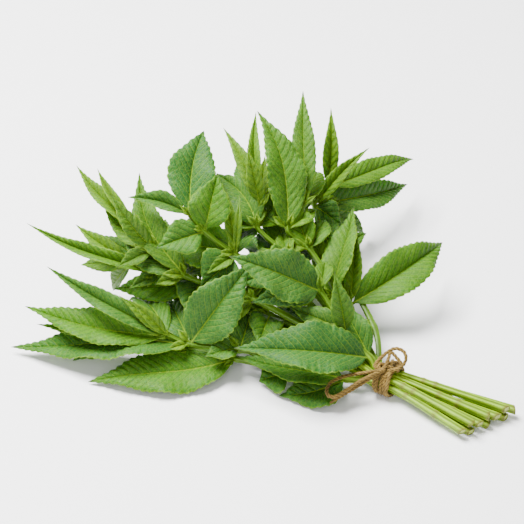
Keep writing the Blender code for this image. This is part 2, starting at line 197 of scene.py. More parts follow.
@dataclass(frozen=True)
class Blade:
    """A leaf placed in space, in mm and degrees."""

    base: np.ndarray
    tip: np.ndarray
    width: float
    roll: float
    fold: float
    arch: float
    bow: float
    lie: float

    def frame(self) -> tuple[float, np.ndarray, np.ndarray, np.ndarray]:
        """The leaf's own directions: its upper face looks between the viewer and straight up.

        Returns:
            Its length, and its directions along, out of the upper face and to the side.
        """
        chord = self.tip - self.base
        along = unit(chord)
        view = unit(VIEW.eye - 0.5 * (self.base + self.tip))
        faced = view * (1 - self.lie) + UP * self.lie
        out = turned(unit(faced - along * (faced @ along)), along, self.roll)
        return float(np.linalg.norm(chord)), along, out, np.cross(along, out)


SPRIGS = (
    Sprig(
        "sprig_front_low",
        (-1.5, 0),
        ((347, 379, 5.5), (290, 371, 6.5), (237, 359, 8), (190, 349, 9), (118, 339, 9)),
        (
            Leaf(2, (87, 382, 2), 25, fold=8, arch=0.02, bow=-0.03, lie=0.65),
            Leaf(0, (278, 396, 2.5), 22, fold=6, arch=0.0, bow=-0.08, lie=0.85),
            Leaf(0, (236, 356, 9), 18, arch=0.03, bow=-0.04, lie=0.7),
            Leaf(1, (258, 382, 3), 22, fold=6, arch=0.0, lie=0.85),
            Leaf(4, (72, 361, 2), 15, arch=0.02, lie=0.8),
        ),
        0.05,
    ),
    Sprig(
        "sprig_left_low",
        (-1.0, -1),
        ((340, 364, 7), (290, 357, 9), (240, 350, 12), (190, 344, 14), (168, 336, 17)),
        (
            Leaf(3, (252, 262, 47), 26, lie=0.15),
            Leaf(3, (10, 347, 4), 24, fold=12, arch=0.04, bow=-0.02, lie=0.85),
            Leaf(4, (24, 306, 20), 20, arch=0.03, bow=-0.07, lie=0.6),
            Leaf(4, (36, 324, 12), 15, lie=0.7),
            Leaf(4, (46, 266, 38), 13, fold=40, bow=-0.035),
            Leaf(4, (118, 295, 30), 7),
            Leaf(4, (130, 300, 34), 6),
            Leaf(1, (246, 314, 9), 20),
            Leaf(1, (303, 324, 6), 17),
            Leaf(2, (252, 310, 14), 20),
            Leaf(2, (204, 357, 8), 15),
            Leaf(1, (228, 336, 6), 17),
            Leaf(3, (168, 298, 12), 18),
            Leaf(4, (128, 300, 10), 15),
        ),
        0.2,
    ),
    Sprig(
        "sprig_left_middle",
        (0.0, -1),
        ((331, 345, 12), (270, 315, 18), (200, 282, 26), (160, 274, 29), (132, 264, 31)),
        (
            Leaf(2, (113, 289, 18), 17, bow=-0.03),
            Leaf(3, (26, 223, 41), 11, fold=50, bow=-0.055),
            Leaf(3, (92, 250, 22), 12),
            Leaf(4, (75, 224, 45), 9, fold=30, bow=-0.04),
            Leaf(4, (80, 265, 25), 10),
            Leaf(4, (113, 291, 2), 9),
            Leaf(1, (258, 346, 11), 17),
            Leaf(1, (226, 296, 13), 16),
            Leaf(2, (186, 316, 12), 20),
            Leaf(0, (276, 306, 10), 20),
            Leaf(0, (290, 338, 6), 16),
        ),
        0.25,
    ),
    Sprig(
        "sprig_back_left",
        (-1.0, 1),
        ((329, 341, 18), (255, 300, 30), (186, 276, 36), (155, 250, 44), (138, 230, 50)),
        (
            Leaf(2, (139, 172, 62), 16, bow=-0.12),
            Leaf(2, (120, 212, 50), 18, bow=-0.1),
            Leaf(3, (102, 203, 48), 11, bow=-0.06),
            Leaf(4, (76, 165, 60), 9, fold=35, bow=-0.05),
            Leaf(4, (97, 168, 62), 7, fold=50, bow=-0.06),
            Leaf(1, (206, 306, 18), 17),
            Leaf(1, (248, 258, 26), 17),
            Leaf(2, (213, 250, 24), 17),
        ),
        0.45,
    ),
    Sprig(
        "sprig_back_left_high",
        (-0.5, 0),
        ((338, 334, 17.8), (275, 270, 38), (236, 255, 45), (205, 232, 54), (190, 215, 60)),
        (
            Leaf(4, (204, 130, 78), 23, bow=-0.05),
            Leaf(3, (218, 172, 72), 20),
            Leaf(4, (127, 197, 62), 12, fold=45, bow=0.05),
            Leaf(2, (163, 242, 38), 24, bow=0.03),
            Leaf(2, (226, 188, 68), 6),
            Leaf(2, (240, 194, 66), 4),
            Leaf(1, (240, 285, 28), 16),
            Leaf(1, (266, 224, 34), 18),
            Leaf(2, (200, 288, 30), 24),
            Leaf(2, (249, 212, 40), 17),
            Leaf(1, (246, 235, 22), 17),
        ),
        0.05,
    ),
    Sprig(
        "sprig_back_middle",
        (0.5, 0),
        ((345, 331, 16.5), (290, 260, 38), (258, 228, 49), (260, 206, 56)),
        (
            Leaf(3, (223, 127, 77), 8, bow=0.03),
            Leaf(3, (256, 111, 80), 9, fold=50, bow=-0.04),
            Leaf(2, (216, 173, 60), 21, bow=0.09),
            Leaf(3, (247, 147, 72), 8),
            Leaf(3, (265, 155, 70), 7),
            Leaf(2, (222, 221, 45), 14),
            Leaf(1, (317, 232, 26), 15),
            Leaf(1, (259, 264, 32), 16),
            Leaf(2, (288, 182, 46), 18),
            Leaf(3, (237, 155, 56), 15),
            Leaf(1, (268, 215, 20), 18),
        ),
        0.35,
    ),
    Sprig(
        "sprig_back_high",
        (1.0, 1),
        ((354, 320, 20), (310, 250, 38), (288, 230, 46), (306, 203, 53)),
        (
            Leaf(3, (303, 90, 85), 12, bow=-0.01),
            Leaf(2, (257, 110, 82), 20, bow=0.07),
            Leaf(2, (283, 140, 70), 14),
            Leaf(1, (333, 224, 24), 14),
            Leaf(1, (276, 205, 44), 14),
            Leaf(3, (318, 172, 44), 12),
            Leaf(2, (318, 194, 28), 15),
        ),
        0.45,
    ),
    Sprig(
        "sprig_back_right",
        (1.5, 0),
        ((374, 327, 13), (335, 255, 24), (314, 206, 30), (328, 187, 36)),
        (
            Leaf(3, (331, 107, 70), 9.5, fold=35, bow=0.02),
            Leaf(2, (370, 147, 52), 9, fold=35, bow=-0.02),
            Leaf(3, (414, 159, 21), 13, bow=0.01),
            Leaf(2, (408, 184, 12), 18.5, bow=0.04),
            Leaf(2, (366, 236, 3), 19),
            Leaf(1, (316, 262, 12), 16),
            Leaf(1, (344, 222, 12), 16),
            Leaf(2, (342, 226, 20), 15),
            Leaf(1, (310, 224, 14), 17),
        ),
        0.4,
    ),
    Sprig(
        "sprig_right",
        (1.0, -1),
        ((360, 337, 9), (350, 305, 17), (333, 298, 22)),
        (
            Leaf(1, (443, 242, 20), 23, roll=22, fold=26, bow=0.025),
            Leaf(2, (354, 206, 48), 18, roll=-28, fold=28, bow=0.04),
            Leaf(1, (357, 229, 40), 9),
            Leaf(2, (307, 213, 42), 10),
            Leaf(0, (370, 318, 14), 10),
            Leaf(1, (312, 280, 10), 18),
        ),
        0.45,
    ),
    Sprig(
        "sprig_middle",
        (0.0, 1),
        ((370, 358, 13), (346, 333, 20.5), (321, 292, 32), (300, 272, 38)),
        (
            Leaf(0, (233, 348, 20), 27, roll=20, fold=25, bow=-0.05, lie=0.1),
            Leaf(0, (338, 300, 25), 14),
            Leaf(1, (288, 306, 14), 12),
            Leaf(2, (250, 303, 30), 15, bow=0.03),
            Leaf(2, (228, 256, 48), 25),
            Leaf(2, (262, 286, 16), 17),
        ),
        0.15,
    ),
)


@dataclass
class Surface:
    """Part of a mesh: points in mm, four-sided faces, and a value of each named kind at every point."""

    points: np.ndarray
    faces: np.ndarray
    values: dict[str, np.ndarray] = field(default_factory=dict)

    @staticmethod
    def joined(parts: list["Surface"]) -> "Surface":
        """One surface out of several that have the same kinds of value.

        Args:
            parts: The surfaces.

        Returns:
            The joined surface.
        """
        starts = np.cumsum([0] + [len(part.points) for part in parts[:-1]])
        return Surface(
            np.concatenate([part.points for part in parts]),
            np.concatenate([part.faces + start for part, start in zip(parts, starts)]),
            {kind: np.concatenate([part.values[kind] for part in parts]) for kind in parts[0].values},
        )


def lofted(sections: np.ndarray, values: dict[str, np.ndarray]) -> Surface:
    """A closed surface through sections that run round its line, each with its ends' points joined across.

    The face between sections i and i+1, and points j and j+1, takes those four points. An end is closed by
    strips that join point j to point S-1-j, where a section has S points.

    Args:
        sections: Points as an array of sections, points round and coordinates, in mm.
        values: Named values, each an array of sections and points round.

    Returns:
        The surface, with its faces pointing out where a section runs anticlockwise about its line.
    """
    count, around = sections.shape[:2]
    here = np.arange(count * around).reshape(count, around)
    there = np.roll(here, -1, axis=1)
    sides = np.stack((here[:-1], there[:-1], there[1:], here[1:]), axis=-1).reshape(-1, 4)
    j = np.arange(around // 2 - 1)
    strips = np.stack((j, j + 1, around - 2 - j, around - 1 - j), axis=-1)
    faces = np.concatenate((sides, strips[:, ::-1], strips + (count - 1) * around))
    spread = {kind: np.broadcast_to(value, (count, around)).ravel() for kind, value in values.items()}
    return Surface(sections.reshape(-1, 3), faces, spread)


def smooth_route(points: list[np.ndarray], steps: list[int]) -> np.ndarray:
    """Points along a Catmull-Rom curve: in each span a cubic in t through its two ends.

    Args:
        points: The points that the curve goes through.
        steps: How many steps each span is cut into.

    Returns:
        The curve's points, the last one included.
    """
    padded = [2 * points[0] - points[1], *points, 2 * points[-1] - points[-2]]
    found = []
    for i, count in enumerate(steps):
        a, b, c, d = padded[i : i + 4]
        t = (np.arange(count) / count)[:, None]
        square = (2 * a - 5 * b + 4 * c - d) * t**2
        cube = (3 * b - a - 3 * c + d) * t**3
        found.append(0.5 * (2 * b + (c - a) * t + square + cube))
    return np.concatenate([*found, points[-1][None]])


def even_route(line: np.ndarray, step: float) -> np.ndarray:
    """The same line with its points a fixed step apart.

    Args:
        line: The line's points.
        step: How far apart the new ones are.

    Returns:
        The new points.
    """
    travelled = distance_along(line)
    wanted = np.linspace(0.0, travelled[-1], max(int(travelled[-1] / step), 4))
    return np.stack([np.interp(wanted, travelled, line[:, k]) for k in range(3)], axis=1)


def distance_along(line: np.ndarray) -> np.ndarray:
    """How far along a line each of its points is."""
    return np.concatenate(([0.0], np.cumsum(np.linalg.norm(np.diff(line, axis=0), axis=1))))


def frames_along(line: np.ndarray) -> tuple[np.ndarray, np.ndarray, np.ndarray]:
    """The direction along a line and two across it at each point, carried along without twist.

    Args:
        line: The line's points.

    Returns:
        The directions along, and both directions across.
    """
    tangents = units(np.gradient(line, axis=0))
    first = np.empty_like(line)
    carried = np.cross(tangents[0], UP) if abs(tangents[0, 2]) < 0.9 else BUNDLE.across
    for i, tangent in enumerate(tangents):
        carried = unit(carried - tangent * (carried @ tangent))
        first[i] = carried
    return tangents, first, np.cross(tangents, first)


def rings(line: np.ndarray, reach: np.ndarray, angle: np.ndarray) -> np.ndarray:
    """Sections round a line: centre + reach x (first x cos angle + second x sin angle).

    Args:
        line: The middle line's points.
        reach: How far each point of each section lies from the line.
        angle: Each point's angle about the line.

    Returns:
        Points as an array of sections, points round and coordinates.
    """
    _, first, second = frames_along(line)
    round_it = first[:, None] * np.cos(angle)[..., None] + second[:, None] * np.sin(angle)[..., None]
    return line[:, None] + reach[..., None] * round_it


def smooth_step(value: np.ndarray, low: float, high: float) -> np.ndarray:
    """0 below low, 1 above high, and 3t^2 - 2t^3 between."""
    t = np.clip((value - low) / (high - low), 0.0, 1.0)
    return t * t * (3 - 2 * t)


@dataclass
class Solids:
    """The frame's coarse solids, in which each leaf is found again; mm."""

    thickness: float = 0.72
    neck: float = 0.8
    point: float = 0.5
    point_start: float = 0.8
    tooth: float = 0.07
    sink: float = 0.4
    match: float = 0.02
    near: float = 1.0
    least_found: float = 0.5
    segments: tuple[int, ...] = (5, 7, 9)
    segment_lengths: tuple[float, ...] = (30.0, 48.0)
    depths: tuple[float, ...] = (0, 4, -4, 8, -8, 12, -12, 17, -17, 22, -22)
    rolls: tuple[float, ...] = (0, 14, -14, 28, -28)
    arches: tuple[float, ...] = (0, 0.08, -0.08)
    swings: tuple[float, ...] = (0, 14, -14, 28, -28)
    sizes: tuple[float, ...] = (1, 0.8)
    partner_length: float = 0.85
    partner_width: float = 0.9
    partner_lowest: float = 4.0
    trees: dict[str, KDTree] = field(default_factory=dict)

    def read(self) -> None:
        """Keeps the points of every sprig's solid, moved into the layout."""
        for sprig in SPRIGS:
            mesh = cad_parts[sprig.name].data
            points = np.empty(3 * len(mesh.vertices), np.float32)
            mesh.vertices.foreach_get("co", points)
            tree = KDTree(len(mesh.vertices))
            for i, point in enumerate(points.reshape(-1, 3) / MM + ORIGIN):
                tree.insert(point, i)
            tree.balance()
            self.trees[sprig.name] = tree

    def outline(self, blade: Blade) -> np.ndarray:
        """The points of a leaf's coarse solid: a folded blade, half as wide as its width x sin(pi share^0.7).

        Args:
            blade: The leaf's place and form.

        Returns:
            The points, in rows of six from its root to its tip.
        """
        length, along, out, side = blade.frame()
        segments = self.segments[sum(length > least for least in self.segment_lengths)]
        share = np.linspace(0.0, 1.0, segments + 1)
        teeth = 1 + self.tooth * np.cos(math.pi * np.arange(segments + 1))
        least = np.interp(share, (0.0, self.point_start, 1.0), (self.neck, self.neck, self.point))
        half = np.maximum(0.5 * blade.width * np.sin(math.pi * share**LEAF_POWER) * teeth, least)
        bulge = length * np.sin(math.pi * share)
        rib = blade.base + np.outer(share * length - self.sink, along)
        rib += np.outer(blade.arch * bulge, out) + np.outer(blade.bow * bulge, side)
        fold = math.radians(blade.fold)
        rows = []
        for face in (1, -1):
            for hand in (-1, 0, 1):
                lift = out * math.cos(fold) - side * hand * math.sin(fold)
                lift = out / math.cos(fold) if hand == 0 else lift
                reach = side * hand * math.cos(fold) + out * abs(hand) * math.sin(fold)
                rows.append(rib + np.outer(half, reach) + face * 0.5 * self.thickness * lift)
        return np.stack(rows, axis=1)

    def found_share(self, name: str, points: np.ndarray) -> float:
        """The share of points that the named solid has too."""
        tree = self.trees[name]
        return sum(tree.find(point)[2] < self.match for point in points) / len(points)

    def moved(self, blade: Blade, way: tuple[float, ...]) -> Blade:
        """The leaf with its tip nearer the viewer, swung across the view, shortened, rolled or arched.

        Args:
            blade: The leaf as first read.
            way: How much nearer, mm; how far swung, degrees; the size; and the roll and arch added.

        Returns:
            The moved leaf.
        """
        depth, swing, size, roll, arch = way
        view = unit(VIEW.eye - blade.tip)
        chord = blade.tip - blade.base
        flat = chord - view * (chord @ view)
        chord = turned(flat, view, swing) + view * (chord @ view)
        tip = blade.base + chord * size + view * depth
        roll, arch = blade.roll + roll, blade.arch + arch
        return replace(blade, tip=tip, width=blade.width * size, roll=roll, arch=arch)

    def search(self, name: str, blade: Blade) -> Blade | None:
        """The leaf as its solid has it, moved clear of its neighbours, or None where the solid has none.

        Args:
            name: The stem's node.
            blade: The leaf as first read.

        Returns:
            The way of moving it whose outline the solid holds.
        """
        ways = itertools.product(self.depths, self.swings, self.sizes, self.rolls, self.arches)
        best, most = None, self.least_found
        for way in ways:
            tried = self.moved(blade, way)
            if self.trees[name].find(tried.tip)[2] > self.near:
                continue
            outline = self.outline(tried)
            if self.found_share(name, outline[-1, [1, 3]]) < 1:
                continue
            share = self.found_share(name, outline.reshape(-1, 3))
            if share > most:
                best, most = tried, share
        return best

    def leaves(self, sprig: Sprig, joints: np.ndarray, tangents: np.ndarray) -> list[Blade]:
        """Every leaf of a sprig, with the partner across the stem from each single leaf.

        Args:
            sprig: The leafy stem.
            joints: Its joints' places.
            tangents: The stem's direction at each joint.

        Returns:
            The leaves as the solid has them.
        """
        asked = []
        for leaf in sprig.leaves:
            form = (leaf.width, leaf.roll, leaf.fold, leaf.arch, leaf.bow, leaf.lie)
            asked.append((leaf.joint, Blade(joints[leaf.joint], VIEW.spot(leaf.tip), *form)))
        for joint in range(len(joints) - 1):
            pair = [blade for at, blade in asked if at == joint]
            if len(pair) == 1:
                asked.append((joint, self.partner(pair[0], tangents[joint])))
        found = [self.search(sprig.name, blade) for _, blade in asked]
        return [blade for blade in found if blade is not None]

    def partner(self, blade: Blade, tangent: np.ndarray) -> Blade:
        """The leaf across the stem from another, a little shorter.

        Args:
            blade: The leaf.
            tangent: The stem's direction at their joint.

        Returns:
            Its partner.
        """
        chord = blade.tip - blade.base
        tip = blade.base + self.partner_length * (2 * tangent * (chord @ tangent) - chord)
        tip[2] = max(tip[2], self.partner_lowest)
        return replace(blade, tip=tip, width=self.partner_width * blade.width, roll=-blade.roll)


@dataclass
class StemWork:
    """Bare and leafy stems: square in section with soft corners, swollen at each joint; sizes in mm."""

    cut_radius: float = 1.75
    tied_radius: float = 1.27
    leafy_radius: float = 1.35
    tip_radius: float = 0.9
    squareness: float = 0.09
    crispness: float = 0.03
    swell: float = 0.2
    swell_length: float = 1.5
    sides: int = 24
    row_step: float = 0.9
    fewest_rows: int = 4
    slant: float = 0.5
    slant_range: Span = (0.5, 1.3)
    slant_length: float = 3.5
    scars: int = 2
    scar_swell: float = 0.14
    scar_length: float = 0.9
    scar_margins: Span = (4.0, 8.0)
    wander: float = 0.025
    wander_length: float = 5.1
    browned_length: float = 2.2
    browned_share: float = 0.8
    leafy_range: Span = (2.0, 24.0)
    # Rings of the cut end from its pith to its rim: shares of the radius, mm ahead, and how brown
    foot_shares: tuple[float, ...] = (0.12, 0.62, 0.68, 0.93, 1.0)
    foot_steps: tuple[float, ...] = (0.0, 0.0, -0.16, -0.2, 0.0)
    foot_browned: tuple[float, ...] = (0.0, 0.15, 0.6, 1.0, 1.0)
    # Rings that round off the growing tip: shares of the radius, across and ahead
    tip_shares: tuple[float, ...] = (0.85, 0.45, 0.1)
    tip_steps: tuple[float, ...] = (0.25, 0.5, 0.58)

    def control_points(self, sprig: Sprig) -> list[np.ndarray]:
        """The points that a stem goes through: its cut end, both ends of the tie and its joints.

        Args:
            sprig: The leafy stem.

        Returns:
            The points, from the cut end to the growing tip.
        """
        column, row = sprig.slot
        across = BUNDLE.across * column * BUNDLE.pitch
        middle = across + UP * (BUNDLE.height + row * BUNDLE.row_rise)
        cut = BUNDLE.axis * (BUNDLE.cut_length + BUNDLE.cut_stagger * column)
        cut = cut + across * BUNDLE.cut_spread
        cut = cut + UP * (BUNDLE.cut_height + row * BUNDLE.cut_row_rise)
        tie = BUNDLE.axis * BUNDLE.half_length
        return [cut, middle + tie, middle - tie, *(VIEW.spot(seen) for seen in sprig.joints)]

    def route(self, sprig: Sprig) -> tuple[np.ndarray, np.ndarray, np.ndarray]:
        """A stem's middle line, its radius at each point, and which points are its joints.

        The radius goes straight from each known value to the next, and swells by a bell curve at a joint.

        Args:
            sprig: The leafy stem.

        Returns:
            The line's points, the radii, and the numbers of the points at the joints.
        """
        points = self.control_points(sprig)
        spans = [np.linalg.norm(b - a) for a, b in zip(points, points[1:])]
        steps = [max(int(span / self.row_step), self.fewest_rows) for span in spans]
        line = smooth_route(points, steps)
        known = np.cumsum([0] + steps)
        radii = np.interp(
            np.arange(len(line)),
            (*known[:4], known[-1]),
            (self.cut_radius, self.tied_radius, self.tied_radius, self.leafy_radius, self.tip_radius),
        )
        travelled = distance_along(line)
        for row in known[3:]:
            near = np.exp(-(((travelled - travelled[row]) / self.swell_length) ** 2))
            radii = radii * (1 + self.swell * near)
        return line, radii, known[3:]

    def joint_tangents(self, sprig: Sprig) -> np.ndarray:
        """The direction of a stem's coarse solid at each of its joints.

        Args:
            sprig: The leafy stem.

        Returns:
            A direction for each joint.
        """
        steps = [3, 1, 3] + [2] * (len(sprig.joints) - 1)
        line = smooth_route(self.control_points(sprig), steps)
        return units(np.gradient(line, axis=0))[np.cumsum(steps)[2:]]

    def scar_marks(self, travelled: np.ndarray, rng: np.random.Generator) -> np.ndarray:
        """How near each row is to a leaf scar: a bell curve for each scar on the bare stretch.

        Args:
            travelled: How far along the stem each row is.
            rng: Seeded random draws.

        Returns:
            A value for each row, 1 on a scar.
        """
        first, last = self.scar_margins
        places = rng.uniform(first, BUNDLE.cut_length - last, self.scars)
        return np.exp(-(((travelled - places[:, None]) / self.scar_length) ** 2)).sum(axis=0)

    def with_ends(self, line: np.ndarray, radii: np.ndarray) -> tuple[np.ndarray, np.ndarray]:
        """Every ring's middle and reach, with those of the cut end and of the growing tip.

        Args:
            line: The stem's middle line.
            radii: Its radius at each point.

        Returns:
            The rings' middles and their reach.
        """
        foot = line[0] + np.outer(self.foot_steps, unit(line[1] - line[0]))
        tip = line[-1] + np.outer(np.array(self.tip_steps) * radii[-1], unit(line[-1] - line[-2]))
        foot_reach = radii[0] * np.array(self.foot_shares)
        tip_reach = radii[-1] * np.array(self.tip_shares)
        return np.concatenate((foot, line[1:], tip)), np.concatenate((foot_reach, radii[1:], tip_reach))

    def surface(self, sprig: Sprig, rng: np.random.Generator) -> Surface:
        """A stem: reach = radius x (1 + square x cos 4a + crisp x cos 8a), from pith to growing tip.

        Args:
            sprig: The leafy stem.
            rng: Seeded random draws.

        Returns:
            The stem's surface, cut at a slant at its foot and rounded at its tip.
        """
        line, radii, _ = self.route(sprig)
        travelled = distance_along(line)
        scar = self.scar_marks(travelled, rng)
        middle, reach = self.with_ends(line, radii * (1 + self.scar_swell * scar))
        foot, tip = len(self.foot_steps), len(self.tip_steps)
        away = np.concatenate((np.zeros(foot), travelled[1:], np.full(tip, travelled[-1])))
        reach = reach * (1 + self.wander * np.sin(away / self.wander_length + rng.uniform(0, 6)))

        angle = 2 * math.pi * np.arange(self.sides) / self.sides
        edge = np.cos(4 * angle)
        shape = 1 + self.squareness * edge + self.crispness * np.cos(8 * angle)
        around = np.broadcast_to(angle + math.pi / 4, (len(middle), self.sides))
        axis = unit(line[1] - line[0])
        # The cut end's rings lie almost in one plane, so a short straight line stands in for their middles
        lead_in = line[0] - np.outer(np.linspace(0.5, 0.1, foot), axis)
        _, first, second = frames_along(np.concatenate((lead_in, middle[foot:])))
        ring = first[:, None] * np.cos(around)[..., None] + second[:, None] * np.sin(around)[..., None]
        sections = middle[:, None] + reach[:, None, None] * shape[None, :, None] * ring
        slant_way = turned(first[0], axis, rng.uniform(0, 360))
        slant = ((sections - line[0]) @ slant_way) * self.slant * rng.uniform(*self.slant_range)
        fade = np.clip(1 - away / self.slant_length, 0, 1)[:, None]
        sections = sections + (slant * fade)[..., None] * axis

        browned = smooth_step(-travelled[1:], -self.browned_length, 0.0) * self.browned_share
        leafy_from, leafy_to = self.leafy_range
        leafy = smooth_step(away, BUNDLE.cut_length + leafy_from, BUNDLE.cut_length + leafy_to)
        values = {
            "along": away[:, None],
            "around": angle[None] / (2 * math.pi),
            "groove": 0.5 - 0.5 * edge[None],
            "cut": np.concatenate((self.foot_browned, browned, np.zeros(tip)))[:, None],
            "leafy": leafy[:, None],
            "scar": np.concatenate((np.zeros(foot), scar[1:], np.zeros(tip)))[:, None],
            "tint": np.full((1, 1), rng.uniform()),
        }
        return lofted(sections, values)


@dataclass
class LeafWork:
    """Leaf blades: quilted between their side veins, toothed and wavy at the rim; sizes in mm.

    The depth of the teeth, the waves and the sway grow with the leaf, so they are shares of its size.
    """

    thickness: float = 0.34
    rim_thickness: float = 0.14
    tip_thinning: float = 0.6
    petiole: float = 2.4
    petiole_half_width: float = 0.62
    least_half_width: float = 0.06
    sink: float = 0.4
    taper: float = 0.14
    taper_span: Span = (0.5, 0.95)
    tooth_pitch: float = 3.1
    tooth_depth: float = 0.034
    tooth_rise: float = 0.7
    tooth_start: Span = (0.05, 0.25)
    tooth_end: float = 0.12
    fewest_teeth: int = 7
    tooth_rows: int = 5
    half_columns: int = 10
    crowding: float = 1.3
    small_width: float = 5.0
    small_rows: int = 3
    small_columns: int = 5
    vein_pitch: float = 3.9
    fewest_veins: float = 4.0
    vein_slant: float = 0.72
    vein_curve: float = 0.5
    vein_offset: float = 0.18
    quilt: float = 0.24
    quilt_power: float = 0.8
    quilted_width: float = 16.0
    quilt_start: Span = (0.03, 0.2)
    quilt_end: float = 0.2
    camber: float = 13.0
    wave: float = 0.046
    wave_power: float = 1.7
    wave_offset: float = 2.1
    least_waves: float = 1.4
    wave_length: float = 32.0
    sway: float = 0.024
    twist: float = 10.0
    twist_middle: float = 0.3
    rib_radius: float = 0.62
    rib_least: float = 0.45
    rib_full_width: float = 30.0
    rib_end: float = 1.08
    rib_softness: float = 0.8
    rib_spread: float = 0.75
    rib_above: float = 0.22
    rib_below: float = 0.9
    young_width: float = 14.0
    young_range: float = 8.0
    young_share: float = 0.65
    yellow_share: float = 0.6
    young_stray: float = 0.12

    def grid(self, blade: Blade, length: float) -> tuple[np.ndarray, np.ndarray, int]:
        """The leaf's grid, with its columns crowded towards the midrib.

        Args:
            blade: The leaf's place and form.
            length: Its length.

        Returns:
            u from root to tip down the rows, v from rim to rim over the columns, and the teeth on a side.
        """
        small = blade.width < self.small_width
        rows = self.small_rows if small else self.tooth_rows
        columns = self.small_columns if small else self.half_columns
        teeth = max(int(length / self.tooth_pitch), self.fewest_teeth)
        u = np.linspace(0.0, 1.0, rows * teeth + 1)[:, None]
        step = np.arange(-columns, columns + 1) / columns
        return u, (np.sign(step) * np.abs(step) ** self.crowding)[None], teeth

    def half_width(self, blade: Blade, u: np.ndarray, share: np.ndarray, teeth: int) -> np.ndarray:
        """Width / 2 x sin(pi share^0.7), drawn in towards the tip, less a saw of teeth; least, the stalk's.

        Args:
            blade: The leaf's place and form.
            u: The rows' places along the leaf.
            share: Their places along the blade alone, without the stalk.
            teeth: How many teeth a side has.

        Returns:
            The half width at each row.
        """
        phase = (u * teeth) % 1.0
        falling = (1 - phase) / (1 - self.tooth_rise)
        saw = np.where(phase < self.tooth_rise, phase / self.tooth_rise, falling)
        toothed = smooth_step(share, *self.tooth_start) * smooth_step(1 - share, 0.0, self.tooth_end)
        plump = 0.5 * blade.width * np.sin(math.pi * share**LEAF_POWER)
        plump = plump * (1 - self.taper * smooth_step(share, *self.taper_span))
        stalk = self.petiole_half_width * np.clip(1.1 - u, 0.1, 1.0) * smooth_step(1 - u, 0.0, 0.15)
        notched = plump - self.tooth_depth * blade.width * toothed * (1 - saw)
        return np.maximum(notched, stalk + self.least_half_width)

    def vein_places(
        self, length: float, u: np.ndarray, v: np.ndarray, reach: np.ndarray, rng: np.random.Generator
    ) -> np.ndarray:
        """Each point's place among the side veins, which leave the midrib forwards and curve towards the tip.

        Args:
            length: The leaf's length.
            u: The rows' places along the leaf.
            v: The columns' places across it.
            reach: Each point's distance from the midrib.
            rng: Seeded random draws.

        Returns:
            The place counted in veins, whole on a vein.
        """
        veins = max(length / self.vein_pitch, self.fewest_veins)
        lead = reach * (self.vein_slant + self.vein_curve * np.abs(v))
        return (u * length - lead) / length * veins + rng.uniform() + self.vein_offset * (v > 0)

    def quilting(self, blade: Blade, vein: np.ndarray, size: np.ndarray, share: np.ndarray) -> np.ndarray:
        """How far the blade rises between its veins: by the sine of the place from vein to vein.

        Args:
            blade: The leaf's place and form.
            vein: Each point's place among the side veins.
            size: The columns' distance from the midrib, as a share.
            share: The rows' places along the blade.

        Returns:
            The rise at each point, none at the midrib, the rim and both ends.
        """
        belly = np.sqrt(np.clip(4 * size * (1 - size), 0.0, 1.0)) * smooth_step(share, *self.quilt_start)
        belly = belly * smooth_step(1 - share, 0.0, self.quilt_end)
        belly = belly * min(1.0, blade.width / self.quilted_width)
        return self.quilt * self.vein_pitch * np.abs(np.sin(math.pi * vein)) ** self.quilt_power * belly

    def waving(
        self, blade: Blade, length: float, u: np.ndarray, v: np.ndarray, share: np.ndarray,
        rng: np.random.Generator,
    ) -> np.ndarray:
        """How far the rim waves up and down: a sine along the leaf, out of step between its two sides.

        Args:
            blade: The leaf's place and form.
            length: Its length.
            u: The rows' places along the leaf.
            v: The columns' places across it.
            share: The rows' places along the blade.
            rng: Seeded random draws.

        Returns:
            The rise at each point, most at the rim.
        """
        turns = self.least_waves + length / self.wave_length
        waves = np.sin(2 * math.pi * turns * u + rng.uniform(0, 6) + self.wave_offset * (v > 0))
        return self.wave * blade.width * waves * np.abs(v) ** self.wave_power * np.sin(math.pi * share**0.8)

    def middle_line(self, blade: Blade, u: np.ndarray, rng: np.random.Generator) -> np.ndarray:
        """The leaf's middle line: an arch and a bow, each the sine of pi u, and a slight sway.

        Args:
            blade: The leaf's place and form.
            u: The rows' places along the leaf.
            rng: Seeded random draws.

        Returns:
            A point for each row.
        """
        length, along, out, side = blade.frame()
        bulge = length * np.sin(math.pi * u)
        sway = length * rng.uniform(-self.sway, self.sway)
        sway = sway * np.sin(2 * math.pi * u) * smooth_step(u, 0.0, 0.2)
        middle = blade.base + (u * length - self.sink) * along
        return middle + blade.arch * bulge * out + blade.bow * bulge * side + sway * out

    def surface(self, blade: Blade, yellow: float, rng: np.random.Generator) -> Surface:
        """A leaf as a grid of u along its midrib and v from rim to rim, above and below.

        A half leaf slopes up at the fold angle, steeper by the camber at the midrib, which is a soft ridge:
        a bell curve of the distance from it. The blade twists about its middle line as it goes.

        Args:
            blade: The leaf's place and form.
            yellow: How yellow the sprig is, from 0 to 1.
            rng: Seeded random draws.

        Returns:
            The leaf's closed surface.
        """
        length, _, out, side = blade.frame()
        u, v, teeth = self.grid(blade, length)
        size = np.abs(v)
        start = self.petiole / length
        share = np.clip((u - start) / (1 - start), 0.0, 1.0)
        reach = self.half_width(blade, u, share, teeth) * size
        vein = self.vein_places(length, u, v, reach, rng)
        raised = self.quilting(blade, vein, size, share) + self.waving(blade, length, u, v, share, rng)

        grown = min(1.0, self.rib_least + blade.width / self.rib_full_width)
        rib = self.rib_radius * grown * (self.rib_end - u)
        slope = np.radians(blade.fold + self.camber * (1 - size) * (1 - 0.6 * start))
        round_rib = self.rib_softness * rib
        soft = np.sqrt(reach**2 + round_rib**2) - round_rib
        level = np.sign(v) * reach * np.cos(slope)
        rise = soft * np.sin(slope) + raised

